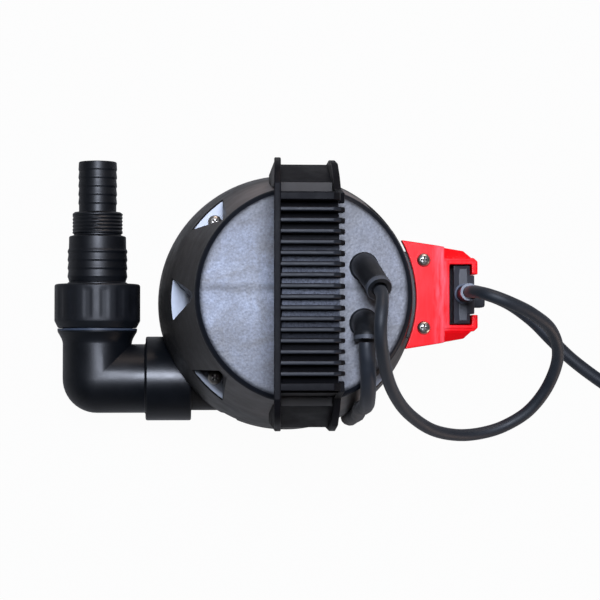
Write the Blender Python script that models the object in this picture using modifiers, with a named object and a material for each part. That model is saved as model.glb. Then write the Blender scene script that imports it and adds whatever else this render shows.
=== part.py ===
"""Submersible dirty-water pump with a sliding level sensor, stepped hose tail and coiled mains lead.

All sizes are in millimetres and are scaled to metres as each shape is made. The pump shaft is the Z axis and
the floor is Z = 0. The outlet leaves on the left, -X, and the level sensor hangs on the right, +X.
"""

import math

import bmesh
import bpy
from mathutils import Matrix, Vector

MM = 0.001

# Pump body, as radii and heights on the shaft axis
CAP_TOP = 255.0
CAP_FLAT_R = 58.7
CAP_R = 62.2
SHELL_TOP = 246.0
SHELL_TOP_R = 62.0
LEDGE_Z = 150.0
LEDGE_R = 75.7
BELLY_R = 83.2
BELLY_Z = 60.0
BASE_TOP = 27.0
BASE_R = 79.7
FOOT_R = 76.5
BORE_R = 58.4
CHAMBER_R = 52.0
CHAMBER_TOP = 95.0
SHELL_SIDES = 36
POCKET_SCREW_R = 67.9
POCKET_ROUND = 4.9

# Outlet, elbow and hose tail
OUT_Y = -49.6
OUT_Z = 60.0
STUB_R = 21.0
STUB_END = -91.0
SOCKET_START = -61.4
PIPE_R = 22.7
BEND_R = 24.0
NOZZLE_X = -123.2
WATERWAY_R = 16.5
TAIL_TIP = 93.5

# Carrying handle
GRIP_TOP = 320.0
LEFT_PLATE = (-20.7, -17.0)
GRIP_LEAN = 4.3
LEAN_FOOT = 244.0
RIGHT_PLATE = (14.6, 18.6)
RIB_PITCH = 5.88
RIB_COUNT = 16
END_BAR = (49.0, 53.1)
LEG_FOOT = 185.0
HANDLE_SCREW_Z = 212.0

# Sensor rail, centred a little off the axis
RAIL_Y = 2.0
RAIL_TOP = 200.0
RAIL_FOOT = 66.0
RAIL_SCREWS = ((75.3, 22.6), (75.3, -17.8))

# Cords
SENSOR_CORD_R = 3.6
POWER_CORD_R = 4.5
COIL_CENTRE = (333.0, 0.0)
COIL_MEAN_R = 81.0
COIL_STEP = 9.9
COIL_TURNS = 4.5
COIL_LAYERS = 4
COIL_START = 230
PLUG_R = 18.6

for old in list(bpy.data.objects):
    bpy.data.objects.remove(old, do_unlink=True)

PARTS = bpy.data.collections.new("submersible_pump")
CUTTERS = bpy.data.collections.new("cutters")
bpy.context.scene.collection.children.link(PARTS)
bpy.context.scene.collection.children.link(CUTTERS)


def add(name, data, look):
    """Puts a shape in the scene: a part when it has a look, otherwise a hidden helper for a Boolean."""
    obj = bpy.data.objects.new(name, data)
    if look is None:
        CUTTERS.objects.link(obj)
        obj.hide_render = True
        obj.display_type = "WIRE"
        return obj
    PARTS.objects.link(obj)
    colour, roughness, metal = look
    material = bpy.data.materials.new(name + "_material")
    material.use_nodes = True
    shader = material.node_tree.nodes["Principled BSDF"]
    shader.inputs["Base Color"].default_value = (*colour, 1.0)
    shader.inputs["Roughness"].default_value = roughness
    shader.inputs["Metallic"].default_value = metal
    data.materials.append(material)
    return obj


def turned(name, profile, look=None, steps=48, at=(0, 0, 0), along=(0, 0, 1)):
    """A (radius, height) profile turned about an axis. It runs down its outer side."""
    data = bpy.data.meshes.new(name)
    ends_on_axis = profile[0][0] == 0 and profile[-1][0] == 0
    edges = [(i, i + 1) for i in range(len(profile) - 1)]
    if not ends_on_axis:
        edges.append((len(profile) - 1, 0))
    data.from_pydata([(r * MM, 0, h * MM) for r, h in profile], edges, [])
    obj = add(name, data, look)
    screw = obj.modifiers.new("turn", "SCREW")
    screw.steps = steps
    screw.render_steps = steps
    screw.use_merge_vertices = True
    screw.merge_threshold = 0.00001
    screw.use_smooth_shade = False
    lean = Vector((0, 0, 1)).rotation_difference(Vector(along))
    obj.matrix_world = Matrix.Translation(Vector(at) * MM) @ lean.to_matrix().to_4x4()
    return obj


def rod(name, radius, low, high, look=None, steps=24, at=(0, 0, 0), along=(0, 0, 1)):
    return turned(name, [(0, high), (radius, high), (radius, low), (0, low)], look, steps, at, along)


def ring(name, inner, outer, low, high, look=None, steps=48, at=(0, 0, 0), along=(0, 0, 1)):
    profile = [(inner, high), (outer, high), (outer, low), (inner, low)]
    return turned(name, profile, look, steps, at, along)


def plate(name, outline, low, high, facing="Z", look=None):
    """A flat outline given thickness between two places along the axis that it faces."""
    order = {"Z": (0, 1, 2), "X": (2, 0, 1), "Y": (0, 2, 1)}[facing]
    shape = bmesh.new()
    corners = []
    for u, v in outline:
        spot = (u, v, low)
        corners.append(shape.verts.new([spot[i] * MM for i in order]))
    face = shape.faces.new(corners)
    grown = bmesh.ops.extrude_face_region(shape, geom=[face])
    moved = [item for item in grown["geom"] if isinstance(item, bmesh.types.BMVert)]
    travel = (0, 0, high - low)
    bmesh.ops.translate(shape, verts=moved, vec=[travel[i] * MM for i in order])
    bmesh.ops.recalc_face_normals(shape, faces=shape.faces)
    data = bpy.data.meshes.new(name)
    shape.to_mesh(data)
    shape.free()
    return add(name, data, look)


def block(name, low, high, look=None):
    outline = [(low[0], low[1]), (high[0], low[1]), (high[0], high[1]), (low[0], high[1])]
    return plate(name, outline, low[2], high[2], "Z", look)


def gathered(name, shapes, matrices):
    """Copies of helper shapes, each moved by its own matrix, held in one hidden mesh."""
    whole = bmesh.new()
    for shape, matrix in zip(shapes, matrices):
        bpy.context.view_layer.update()
        graph = bpy.context.evaluated_depsgraph_get()
        copy = bpy.data.meshes.new_from_object(shape.evaluated_get(graph))
        copy.transform(matrix @ shape.matrix_world)
        whole.from_mesh(copy)
        bpy.data.meshes.remove(copy)
    for shape in set(shapes):
        bpy.data.objects.remove(shape, do_unlink=True)
    data = bpy.data.meshes.new(name)
    whole.to_mesh(data)
    whole.free()
    return add(name, data, None)


def round_shaft(degrees):
    return Matrix.Rotation(math.radians(degrees), 4, "Z")


def combine(part, operation, others):
    for other in others:
        step = part.modifiers.new(other.name, "BOOLEAN")
        step.operation = operation
        step.solver = "EXACT"
        step.object = other


def join(part, *others):
    combine(part, "UNION", others)


def cut(part, *others):
    combine(part, "DIFFERENCE", others)


def curved(points, per_span):
    """Points along a smooth curve through the given ones."""
    spots = [Vector(p) for p in points]
    spots = [2 * spots[0] - spots[1]] + spots + [2 * spots[-1] - spots[-2]]
    line = []
    for a, b, c, d in zip(spots, spots[1:], spots[2:], spots[3:]):
        for i in range(per_span):
            t = i / per_span
            line.append(0.5 * (2 * b + (c - a) * t + (2 * a - 5 * b + 4 * c - d) * t**2
                               + (3 * b - a - 3 * c + d) * t**3))
    line.append(spots[-2])
    return line


def tube(name, points, radius, look=None, fineness=2, swell=None):
    """A round bar along a line of points. swell scales the radius at each point."""
    data = bpy.data.curves.new(name, "CURVE")
    data.dimensions = "3D"
    data.bevel_depth = radius * MM
    data.bevel_resolution = fineness
    data.use_fill_caps = True
    spline = data.splines.new("POLY")
    spline.points.add(len(points) - 1)
    for i, spot in enumerate(points):
        spline.points[i].co = (spot[0] * MM, spot[1] * MM, spot[2] * MM, 1)
        spline.points[i].radius = swell[i] if swell else 1.0
    return add(name, data, look)


def screw(name, at, along, length, head_r=4.2, head_h=2.8):
    """A pan-head screw. Its origin is under the head and its shank runs back from there."""
    profile = [(0, head_h), (head_r * 0.7, head_h), (head_r, head_h * 0.4), (head_r, 0)]
    profile += [(2.0, 0), (2.0, -length), (0, -length)]
    return turned(name, profile, STEEL, 8, at, along)


BLACK = ((0.012, 0.013, 0.015), 0.35, 0.0)
TEXTURED = ((0.06, 0.068, 0.082), 0.6, 0.0)
RED = ((0.8, 0.01, 0.012), 0.3, 0.0)
RUBBER = ((0.02, 0.022, 0.026), 0.6, 0.0)
STEEL = ((0.55, 0.55, 0.55), 0.3, 1.0)
IRON = ((0.2, 0.2, 0.21), 0.5, 1.0)
COPPER = ((0.6, 0.25, 0.1), 0.4, 1.0)
ALUMINIUM = ((0.6, 0.6, 0.62), 0.45, 1.0)
CERAMIC = ((0.8, 0.78, 0.74), 0.3, 0.0)


def make_base():
    """The intake foot: a closed floor plate, a slotted wall and a top plate with the suction eye."""
    base = turned("intake_base", [
        (0, 4), (73.5, 4), (75.2, 23), (24, 23), (24, BASE_TOP), (BASE_R, BASE_TOP), (BASE_R, 23),
        (FOOT_R + 1.5, 3), (FOOT_R, 0), (0, 0),
    ], BLACK, 24)
    window = block("intake_window", (66, -12, 6), (90, 12, 20))
    windows = gathered("intake_windows", [window] * 12, [round_shaft(30 * i) for i in range(12)])
    boss = rod("base_boss", 6.8, 3, 24, None, 8, (57, 0, 0))
    turns = [round_shaft(45 + 90 * i) for i in range(4)]
    bosses = gathered("base_bosses", [boss] * 4, turns)
    seat = [(0, 40), (2.3, 40), (2.3, 4), (4.8, 4), (4.8, -1), (0, -1)]
    hole = turned("base_hole", seat, None, 8, (57, 0, 0))
    holes = gathered("base_holes", [hole] * 4, turns)
    join(base, bosses)
    cut(base, windows, holes)
    for i, turn in enumerate(turns):
        spot = turn @ Vector((57, 0, 3.7))
        screw(f"base_screw_{i + 1}", spot, (0, 0, -1), 32)


def make_lower_housing():
    """The jacket of the pump: motor bore, ledge, skirt and the opening that the outlet leaves by."""
    housing = turned("lower_housing", [
        (BORE_R, CHAMBER_TOP + 0.3), (BORE_R, 147), (61.3, 147), (61.3, LEDGE_Z), (LEDGE_R, LEDGE_Z),
        (79.6, 105), (BELLY_R, BELLY_Z), (82.4, 36), (80, 27.3), (76, 27.3), (78.2, 36), (79.2, BELLY_Z),
        (75.6, 105), (72, 145.5), (62, 145.5), (62, CHAMBER_TOP + 0.3),
    ], BLACK, 32)
    outlet = (0, OUT_Y, OUT_Z)
    cut(housing, rod("outlet_opening", 30.6, 31, 120, None, 24, outlet, (-1, 0, 0)))
    pilot = rod("ledge_pilot", 2.3, 138, 152, None, 8, (POCKET_SCREW_R, 0, 0))
    cut(housing, gathered("ledge_pilots", [pilot] * 4, [round_shaft(45 + 90 * i) for i in range(4)]))


def make_volute():
    """The pump chamber inside the jacket, with the outlet stub that leaves it at a tangent."""
    volute = ring("volute_casing", CHAMBER_R, CHAMBER_R + 10, BASE_TOP + 0.3, CHAMBER_TOP, BLACK, 32)
    outlet = (0, OUT_Y, OUT_Z)
    stub = rod("outlet_stub", STUB_R, 3, -STUB_END, None, 24, outlet, (-1, 0, 0))
    cut(stub, rod("stub_trim", CHAMBER_R + 3, 20, 100, None, 24))
    join(volute, stub)
    cut(volute, rod("waterway", WATERWAY_R, 7, 120, None, 16, outlet, (-1, 0, 0)))
    pilot = rod("foot_pilot", 2.3, 20, 39, None, 8, (57, 0, 0))
    cut(volute, gathered("foot_pilots", [pilot] * 4, [round_shaft(45 + 90 * i) for i in range(4)]))


def make_upper_housing():
    """The steep motor shell: V pockets with screws on the ledge, and a lug that carries the sensor rail."""
    shell = turned("upper_housing", [
        (60.2, SHELL_TOP), (SHELL_TOP_R, SHELL_TOP), (LEDGE_R, 152), (LEDGE_R, LEDGE_Z + 0.3),
        (BORE_R, LEDGE_Z + 0.3), (BORE_R, 243), (60.2, 243),
    ], BLACK, SHELL_SIDES)
    lug = plate("rail_lug", [(62, 158), (82, 176), (82, 193.7), (62, 193.7)], RAIL_Y - 26, RAIL_Y + 26, "Y")
    join(shell, lug)
    outline = []
    for i in range(7):
        swing = math.radians(135 + 15 * i)
        outline.append((POCKET_SCREW_R + POCKET_ROUND * math.cos(swing), POCKET_ROUND * math.sin(swing)))
    outline += [(outline[-1][0] + 22, outline[-1][1] - 22), (outline[0][0] + 22, outline[0][1] + 22)]
    pocket = plate("screw_pocket", outline, LEDGE_Z - 2, SHELL_TOP + 4)
    places = [45, 135, 180, 225, 315]
    cut(shell, gathered("screw_pockets", [pocket] * 5, [round_shaft(p) for p in places]))
    for x, y in RAIL_SCREWS:
        cut(shell, rod("lug_hole", 2.3, 176, 196, None, 8, (x, y, 0)))
    for side in (-1, 1):
        cut(shell, rod("handle_hole", 2.3, 61.5, 80, None, 8, (0, 0, HANDLE_SCREW_Z), (0, side, 0)))
    for i, place in enumerate((45, 135, 225, 315)):
        spot = round_shaft(place) @ Vector((POCKET_SCREW_R, 0, LEDGE_Z + 0.3))
        screw(f"housing_screw_{i + 1}", spot, (0, 0, 1), 10, 4.3)


def make_cap():
    """The textured lid, with a spigot in the shell and two holes for the cord boots."""
    cap = turned("motor_cap", [
        (0, CAP_TOP), (CAP_FLAT_R, CAP_TOP), (60.4, 254.4), (61.6, 253), (CAP_R, 250.6),
        (CAP_R, SHELL_TOP + 0.3), (58, SHELL_TOP + 0.3), (58, 234), (54.5, 234), (54.5, 251.5), (0, 251.5),
    ], TEXTURED, SHELL_SIDES)
    for y in (16, -16):
        cut(cap, rod("boot_hole", 6.2, 246, 260, None, 12, (34, y, 0)))
    ring("cap_seal", 58.5, 59.7, 243.3, 245.9, RUBBER, 24)
    ring("housing_seal", 59.0, 60.6, 147.3, 149.9, RUBBER, 24)


def make_boots():
    """Rubber boots that carry the two cords out of the cap."""
    stem = [5.9 / 8, 5.9 / 8, 1.0, 1.0, 0.97, 0.93, 0.9, 0.88]
    lean = [(34, 16, 248), (34, 16, 255.2), (34, 16, 255.5), (34.2, 15.6, 262), (35.2, 12.6, 271)]
    lean += [(36.8, 8, 280), (38.2, 4.4, 286.5), (39, 2, 290)]
    tube("sensor_boot", lean, 8, RUBBER, 3, stem)
    bent = [(34, -16, 248), (34, -16, 255.2), (34, -16, 255.5), (33.9, -16.3, 263), (33.8, -17.8, 268.5)]
    bent += [(33.7, -20.2, 272.3), (33.5, -23, 274.4), (33.4, -26, 275)]
    tube("power_boot", bent, 8, RUBBER, 3, stem)


def mirrored(points):
    """The same outline run backwards on the other side of the middle."""
    return [(-y, z) for y, z in reversed(points)]


def make_handle():
    """A one-piece handle: tall left plate that leans out, ribbed grip, low right plates and two legs."""
    arch = [(77.5, LEAN_FOOT), (76.6, 266), (74.6, 286), (71, 304), (66, 314), (58, GRIP_TOP)]
    under = [(47, 301), (49, 288), (54, 272), (62.9, 261), (62.9, LEAN_FOOT)]
    edge = arch + mirrored(arch) + mirrored(under) + under
    handle = plate("carry_handle", edge, LEFT_PLATE[0], LEFT_PLATE[1], "X", BLACK)
    lean = Matrix.Identity(4)
    lean[0][2] = -GRIP_LEAN / (GRIP_TOP - LEAN_FOOT)
    lean[0][3] = -lean[0][2] * GRIP_TOP * MM
    handle.data.transform(lean)
    leg_left = LEFT_PLATE[0] + GRIP_LEAN
    web = [(0, 312.5), (18, 311.6), (35, 308.9), (50, 304.6), (54.6, 304.6), (57.3, 270), (62.6, 270)]
    web += [(75.5, 238), (73.6, LEG_FOOT), (62.9, LEG_FOOT), (62.9, 261), (54, 272), (49, 288), (47, 301)]
    join(handle, plate("handle_web", web + mirrored(web[1:]), leg_left + 0.2, RIGHT_PLATE[0] + 0.5, "X"))
    low_plate = [(74.6, LEG_FOOT), (77.5, 244), (74, 262), (66, 274), (58, 282), (54, 304)]
    low_plate += [(48.2, 302), (49.6, 288), (54.4, 272.4), (63.3, 261.4), (63.3, LEG_FOOT)]
    leg = [(63.3, LEG_FOOT), (74.6, LEG_FOOT), (77.4, LEAN_FOOT + 0.4), (63.3, LEAN_FOOT + 0.4)]
    for side in (-1, 1):
        right = [(y * side, z) for y, z in low_plate]
        join(handle, plate("handle_right_plate", right, RIGHT_PLATE[0], RIGHT_PLATE[1], "X"))
        left = [(y * side, z) for y, z in leg]
        join(handle, plate("handle_left_leg", left, leg_left, LEFT_PLATE[1] + GRIP_LEAN - 0.1, "X"))
    section = [(LEFT_PLATE[1] - 1, 303), (LEFT_PLATE[1] - 1, 319.4), (11.7, 319.4), (15.4, 317), (18, 312.5)]
    section += [(18.6, 306), (17.6, 303)]
    rib = plate("grip_rib", section, -1.3, 1.3, "Y")
    rows = [Matrix.Translation((0, (i - (RIB_COUNT - 1) / 2) * RIB_PITCH * MM, 0)) for i in range(RIB_COUNT)]
    join(handle, gathered("grip_ribs", [rib] * RIB_COUNT, rows))
    blunt = section[:3] + [(14.4, 316.4), (15.8, 311), (15.8, 303)]
    bar = plate("end_bar", blunt, END_BAR[0], END_BAR[1], "Y")
    far_end = Matrix.Translation((0, -sum(END_BAR) * MM, 0))
    join(handle, gathered("end_bars", [bar] * 2, [Matrix.Identity(4), far_end]))
    cut(handle, turned("shell_clearance", [
        (0, SHELL_TOP), (SHELL_TOP_R + 0.5, SHELL_TOP), (LEDGE_R + 0.5, 152), (LEDGE_R + 0.5, 140), (0, 140),
    ], None, SHELL_SIDES))
    for side in (-1, 1):
        seat = [(0, 90), (5.2, 90), (5.2, 71.8), (2.4, 71.8), (2.4, 60), (0, 60)]
        cut(handle, turned("handle_screw_seat", seat, None, 16, (0, 0, HANDLE_SCREW_Z), (0, side, 0)))
        screw(f"handle_screw_{(side + 3) // 2}", (0, 72.1 * side, HANDLE_SCREW_Z), (0, side, 0), 10)


def make_elbow():
    """The swivelling outlet elbow: socket over the stub, mitred pipe and the thread under the union nut."""
    start = (SOCKET_START, OUT_Y, OUT_Z)
    reach = SOCKET_START - NOZZLE_X
    elbow = turned("outlet_elbow", [
        (0, reach), (PIPE_R, reach), (PIPE_R, 29.9), (26.4, 29.9), (27.7, 28.6), (27.7, 1), (26.9, 0), (0, 0),
    ], BLACK, 24, start, (-1, 0, 0))
    corner = (NOZZLE_X, OUT_Y, OUT_Z)
    bend = []
    for i in range(11):
        swing = math.radians(90 - 18 * i)
        bend.append((BEND_R * math.cos(swing) if 0 < i < 10 else 0, BEND_R * math.sin(swing)))
    join(elbow, turned("elbow_bend", bend, None, 20, corner, (-1, 0, 0)))
    upper = [(0, 53.1), (20.4, 53.1), (21, 52.4), (21, 33.2), (26.2, 33), (26.2, 31.5), (PIPE_R, 23)]
    upper += [(PIPE_R, 0.2), (0, 0.2)]
    join(elbow, turned("elbow_mouth", upper, None, 24, corner, (0, 1, 0)))
    inner = [(0, reach + 9), (WATERWAY_R, reach + 9), (WATERWAY_R, 30), (21.8, 30), (21.8, -1), (0, -1)]
    cut(elbow, turned("elbow_bore", inner, None, 16, start, (-1, 0, 0)))
    cut(elbow, rod("mouth_bore", WATERWAY_R + 0.4, -10, 60, None, 18, corner, (0, 1, 0)))


def make_nut_and_tail():
    """The fluted union nut, its gasket and the stepped hose tail with two barbs and a thread between."""
    axis = (NOZZLE_X, 0, OUT_Z)
    nut = turned("union_nut", [
        (20.2, 12.6), (27.0, 12.6), (28.2, 11.1), (28.2, -11.8), (25.6, -16.1), (21.4, -16.1), (21.4, 8.5),
        (20.2, 8.5),
    ], BLACK, 32, axis, (0, 1, 0))
    flute = block("nut_flute", (27.2, -1.7, -10.3), (32, 1.7, 9.8))
    flutes = gathered("nut_flutes", [flute] * 16, [round_shaft(22.5 * i) for i in range(16)])
    flutes.matrix_world = nut.matrix_world
    cut(nut, flutes)
    ring("union_gasket", 17.0, 20.6, 3.8, 5.5, RUBBER, 20, axis, (0, 1, 0))
    outer = [(9.6, TAIL_TIP), (11.6, TAIL_TIP)]
    for i in range(5):
        crest = 88.8 - 5.6 * i
        outer += [(12.7, crest), (11.6, crest - 0.6)]
    outer += [(11.6, 60.5), (15.6, 60)]
    for i in range(2):
        top = 59 - 6.8 * i
        outer += [(16.6, top), (16.6, top - 3.5), (15.6, top - 5)]
    outer += [(15.6, 45), (17.8, 43.4), (18.3, 35.6)]
    for i in range(4):
        crest = 34.1 - 5.45 * i
        outer += [(19.6, crest), (18.4, crest - 0.9)]
    outer += [(18.4, 13.4), (19.7, 13.2), (19.7, 8.2), (20.9, 8.2), (20.9, 5.8), (14.5, 5.8), (14.5, 40)]
    outer.append((9.6, 46))
    turned("hose_tail", outer, BLACK, 16, axis, (0, 1, 0))


def make_rail():
    """The red rail: a plate on the housing lug, sloping shoulders and a C channel for the sensor."""
    def around(points):
        return [(x, RAIL_Y + y) for x, y in points]

    half = [(86.5, 22), (105.6, 22), (108, 19.8), (108, 12.1), (104.4, 12.1), (104.4, 18.1), (91, 18.1)]
    channel = half + [(x, -y) for x, y in reversed(half)]
    rail = plate("sensor_rail", around(channel), RAIL_FOOT, RAIL_TOP - 0.6, "Z", RED)
    edge = []
    for i in range(13):
        swing = math.radians(-25.5 + 4.55 * i)
        edge.append((71 * math.cos(swing), 71 * math.sin(swing)))
    top = edge + around([(84.3, 29.3), (88, 28.6), (88, 20.4), (107.4, 20.4), (107.4, 12.4), (104.4, 12.4)])
    top += around([(104.4, 18.1), (91, 18.1), (91, -18.1), (104.4, -18.1), (104.4, -12.4), (107.4, -12.4)])
    top += around([(107.4, -20.4), (88, -20.4), (88, -28.6), (84.3, -29.3)])
    join(rail, plate("rail_top", top, 194.0, RAIL_TOP, "Z"))
    for side in (-1, 1):
        slope = [(20.0, 199.2), (22.5, 198.6), (29, 192), (29, 186), (20.0, 180)]
        shoulder = [(y * side + RAIL_Y, z) for y, z in slope]
        wing = plate("rail_shoulder", shoulder, 83, 104.4, "X")
        mask = plate("rail_shoulder_mask", around([(83, 10 * side), (83, 29.4 * side), (100, 26.3 * side),
                                                   (104.2, 22 * side), (104.2, 10 * side)]), 170, 210)
        combine(wing, "INTERSECT", [mask])
        join(rail, wing)
    stop = [(90, RAIL_Y - 18.6, RAIL_FOOT + 0.1), (104.2, RAIL_Y + 18.6, RAIL_FOOT + 4)]
    join(rail, block("rail_stop", stop[0], stop[1]))
    for i, (x, y) in enumerate(RAIL_SCREWS):
        cut(rail, rod("rail_hole", 2.3, 190, 203, None, 12, (x, y, 0)))
        screw(f"rail_screw_{i + 1}", (x, y, RAIL_TOP + 0.3), (0, 0, 1), 20, 4.0)


def make_sensor():
    """The level sensor: a block that slides in the rail, its cord gland and two steel contacts."""
    half = [(91.6, 17.4), (103.7, 17.4), (103.7, 11.5), (106.4, 11.5)]
    outline = half + [(x, -y) for x, y in reversed(half)]
    sensor = plate("level_sensor", [(x, RAIL_Y + y) for x, y in outline], 148, 195, "Z", RUBBER)
    crown = [(91.7, 194.5), (95, 199.5), (102.4, 199.5), (106.2, 194.5)]
    join(sensor, plate("sensor_crown", crown, RAIL_Y - 16.2, RAIL_Y + 16.2, "Y"))
    trim = [(103.7, -30), (103.7, -11.5), (110, -11.5), (110, -30)]
    cut(sensor, plate("crown_trim", [(x, RAIL_Y + y) for x, y in trim], 193, 202))
    cut(sensor, plate("crown_trim_far", [(x, RAIL_Y - y) for x, y in trim], 193, 202))
    join(sensor, block("thumb_tab", (105.5, -5.5, 180), (114, 3.5, 189)))
    for i, y in enumerate((-9, 9)):
        cut(sensor, rod("contact_hole", 2.4, 140, 154, None, 10, (97.6, RAIL_Y + y, 0)))
        turned(f"sensor_contact_{i + 1}", [
            (0, 153.6), (2.0, 153.6), (2.0, 147.6), (3.2, 147.6), (3.2, 144), (2.4, 143), (0, 143),
        ], STEEL, 10, (97.6, RAIL_Y + y, 0))
    turned("sensor_gland", [
        (0, 231), (5.2, 231), (5.3, 215), (5.6, 208), (6.25, 206), (6.25, 199.8), (0, 199.8),
    ], RUBBER, 16, (97.8, 2.6, 0))


def make_motor():
    """What the sealed housing holds: stator, windings, bearings and carriers, shaft seal and capacitor."""
    turned("bearing_carrier", [
        (22, 121.5), (22, 106), (58.1, 106), (58.1, 95.3), (13.3, 95.3), (13.3, 108), (8, 108), (8, 111),
        (16.6, 111), (16.6, 121.5),
    ], ALUMINIUM, 16)
    turned("bearing_bridge", [
        (21, 216.5), (21, 209), (58.1, 209), (58.1, 204), (8, 204), (8, 206), (16.6, 206), (16.6, 216.5),
    ], ALUMINIUM, 16)
    ring("lower_bearing", 6.4, 15.6, 111.3, 121.3, STEEL, 16)
    ring("upper_bearing", 6.4, 15.6, 206.3, 216.3, STEEL, 16)
    ring("seal_seat", 6.6, 12.8, 95.6, 102, CERAMIC, 16)
    ring("stator_core", 27.2, 58.1, 139, 184, IRON, 24)
    for name, low, high in (("winding_upper", 184.3, 201), ("winding_lower", 124, 138.7)):
        bundle = [(32, high), (50, high), (54, high - 4), (54, low), (29, low), (29, high - 3)]
        turned(name, bundle, COPPER, 16)
    rod("run_capacitor", 13, -25, 25, ALUMINIUM, 16, (-22, 0, 233), (0, 1, 0))


def make_rotor():
    """Everything that spins: shaft, rotor, seal ring, vortex impeller and its nut."""
    turned("rotor_shaft", [(0, 222), (5, 222), (6, 221), (6, 50), (5, 49), (0, 49)], STEEL, 16)
    ring("rotor_core", 6.4, 26.1, 137, 186, IRON, 24)
    ring("seal_ring", 6.4, 11, 86, 95.2, CERAMIC, 16)
    impeller = turned("impeller", [
        (11, 85.6), (11, 83), (44, 83), (44, 80), (11, 79), (11, 58.3), (6.4, 58.3), (6.4, 85.6),
    ], BLACK, 24)
    vane = []
    for i in range(5):
        reach = 9.5 + 33.5 * i / 4
        vane.append((reach * math.cos(0.011 * reach), -reach * math.sin(0.011 * reach)))
    blade = vane + [(x + 1.2, y + 3) for x, y in reversed(vane)]
    wing = plate("impeller_vane", blade, 61, 81)
    join(impeller, gathered("impeller_vanes", [wing] * 6, [round_shaft(60 * i) for i in range(6)]))
    ring("impeller_nut", 7.3, 10.8, 51, 58, STEEL, 6)


def coil_line():
    """The wound lead: it spirals in and out in layers, and climbs in the half turn where it reverses."""
    first = POWER_CORD_R + 1.9
    outer = COIL_MEAN_R + COIL_STEP * COIL_TURNS / 2
    line = []
    per_turn = 16
    total = int(COIL_TURNS * COIL_LAYERS * per_turn)
    for i in range(total + 1):
        turn = i / per_turn
        layer = min(int(turn / COIL_TURNS), COIL_LAYERS - 1)
        along = turn - layer * COIL_TURNS
        part = along if layer % 2 == 0 else COIL_TURNS - along
        radius = outer - COIL_STEP * part
        rise = layer
        for k in range(1, COIL_LAYERS):
            near = turn - k * COIL_TURNS
            if abs(near) < 0.25:
                rise = k - 0.5 + 2 * near
        swing = math.radians(COIL_START) + 2 * math.pi * turn
        x = COIL_CENTRE[0] + radius * math.cos(swing)
        y = COIL_CENTRE[1] + radius * math.sin(swing)
        line.append(Vector((x, y, first + rise * COIL_STEP)))
    return line


def least_gap(line, radius, skip):
    """The smallest distance between two stretches of a cord, less its own thickness."""
    least = 1000.0
    for i, spot in enumerate(line):
        for j in range(i + skip, len(line) - 1):
            a, b = line[j], line[j + 1]
            side = b - a
            t = max(0.0, min(1.0, (spot - a).dot(side) / side.length_squared))
            least = min(least, (spot - a - side * t).length)
    return least - 2 * radius


def make_cords():
    """The sensor's free loop and the mains lead: drop, run on the floor, coil, tie and plug."""
    loop = [
        (39.2, 1.4, 290.8), (40.0, -1.6, 294.6), (39.0, -9, 301.5), (38.2, -19, 302.5), (39.6, -30, 296),
        (45.2, -47.3, 276), (53.6, -60.5, 256), (64.1, -70.1, 238), (77.8, -77.9, 222), (93.5, -81.3, 210),
        (108.7, -80.6, 203.5), (123.5, -76.3, 201.5), (138, -67, 203.5), (148.2, -52, 210.5),
        (151.8, -34.5, 222), (145.4, -19.8, 235), (132, -10.4, 247), (117.5, -4, 254), (106, 0.3, 253),
        (99.6, 2.3, 243), (97.8, 2.6, 231.5),
    ]
    tube("sensor_cable", curved(loop, 2), SENSOR_CORD_R, RUBBER, 2)
    wound = coil_line()
    join_at = wound[0]
    heading = (wound[1] - wound[0]).normalized()
    lead = [
        (33.4, -27.2, 275.1), (33.4, -30.4, 275.1), (34.1, -38, 273.6), (35, -47.5, 268.7),
        (35.9, -56.5, 258.5), (36.6, -62, 245), (37, -64.4, 225), (37.5, -65.6, 200), (39, -67.6, 175),
        (40.8, -70.6, 150), (41.7, -72.2, 128), (42.5, -73.6, 105), (43.2, -75.1, 86), (43.9, -76.4, 68),
        (44.2, -76.6, 45), (45.2, -75.5, 34.6), (48.2, -72.8, 25), (52.9, -68.2, 16.7),
        (58.6, -61.9, 10.4), (64.9, -54.3, 6.4), (70.8, -45.6, 5), (78.1, -31.5, 5), (82.4, -19, 5),
        (90.7, -2.6, 5), (104.2, 7.6, 5), (121, 11.4, 5), (141, 9.4, 5), (160, 2.4, 5), (177, -9.5, 5),
        (190.5, -22.8, 5), (205, -36.8, 5), (224, -51.2, 5.2), (243, -63.6, 5.8),
        tuple(join_at - heading * 12), tuple(join_at - heading * 0.3),
    ]
    tube("power_cable", lead, POWER_CORD_R, RUBBER, 2)
    tube("power_coil", wound, POWER_CORD_R, RUBBER, 1)
    make_tie()
    tail = make_plug(wound[-1])
    gap = least_gap(wound + tail[1:], POWER_CORD_R, 10)
    length = sum((b - a).length for a, b in zip(wound, wound[1:]))
    print(f"coil: least gap to itself {gap:.2f} mm, {length / 1000:.2f} m of cord in it")


def make_tie():
    """A strap round the coil's section on its far side, loose by a little."""
    outer = COIL_MEAN_R + COIL_STEP * COIL_TURNS / 2 + POWER_CORD_R
    inner = COIL_MEAN_R - COIL_STEP * COIL_TURNS / 2 - POWER_CORD_R
    top = POWER_CORD_R * 2 + 1.9 + COIL_STEP * (COIL_LAYERS - 1)
    low_x = COIL_CENTRE[0] + inner - 1.2
    high_x = COIL_CENTRE[0] + outer + 2.2
    band = block("coil_tie", (low_x - 1.2, -9, 0.3), (high_x + 1.2, 9, top + 2.0), RUBBER)
    cut(band, block("tie_hole", (low_x, -20, 1.5), (high_x, 20, top + 0.8)))


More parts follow.
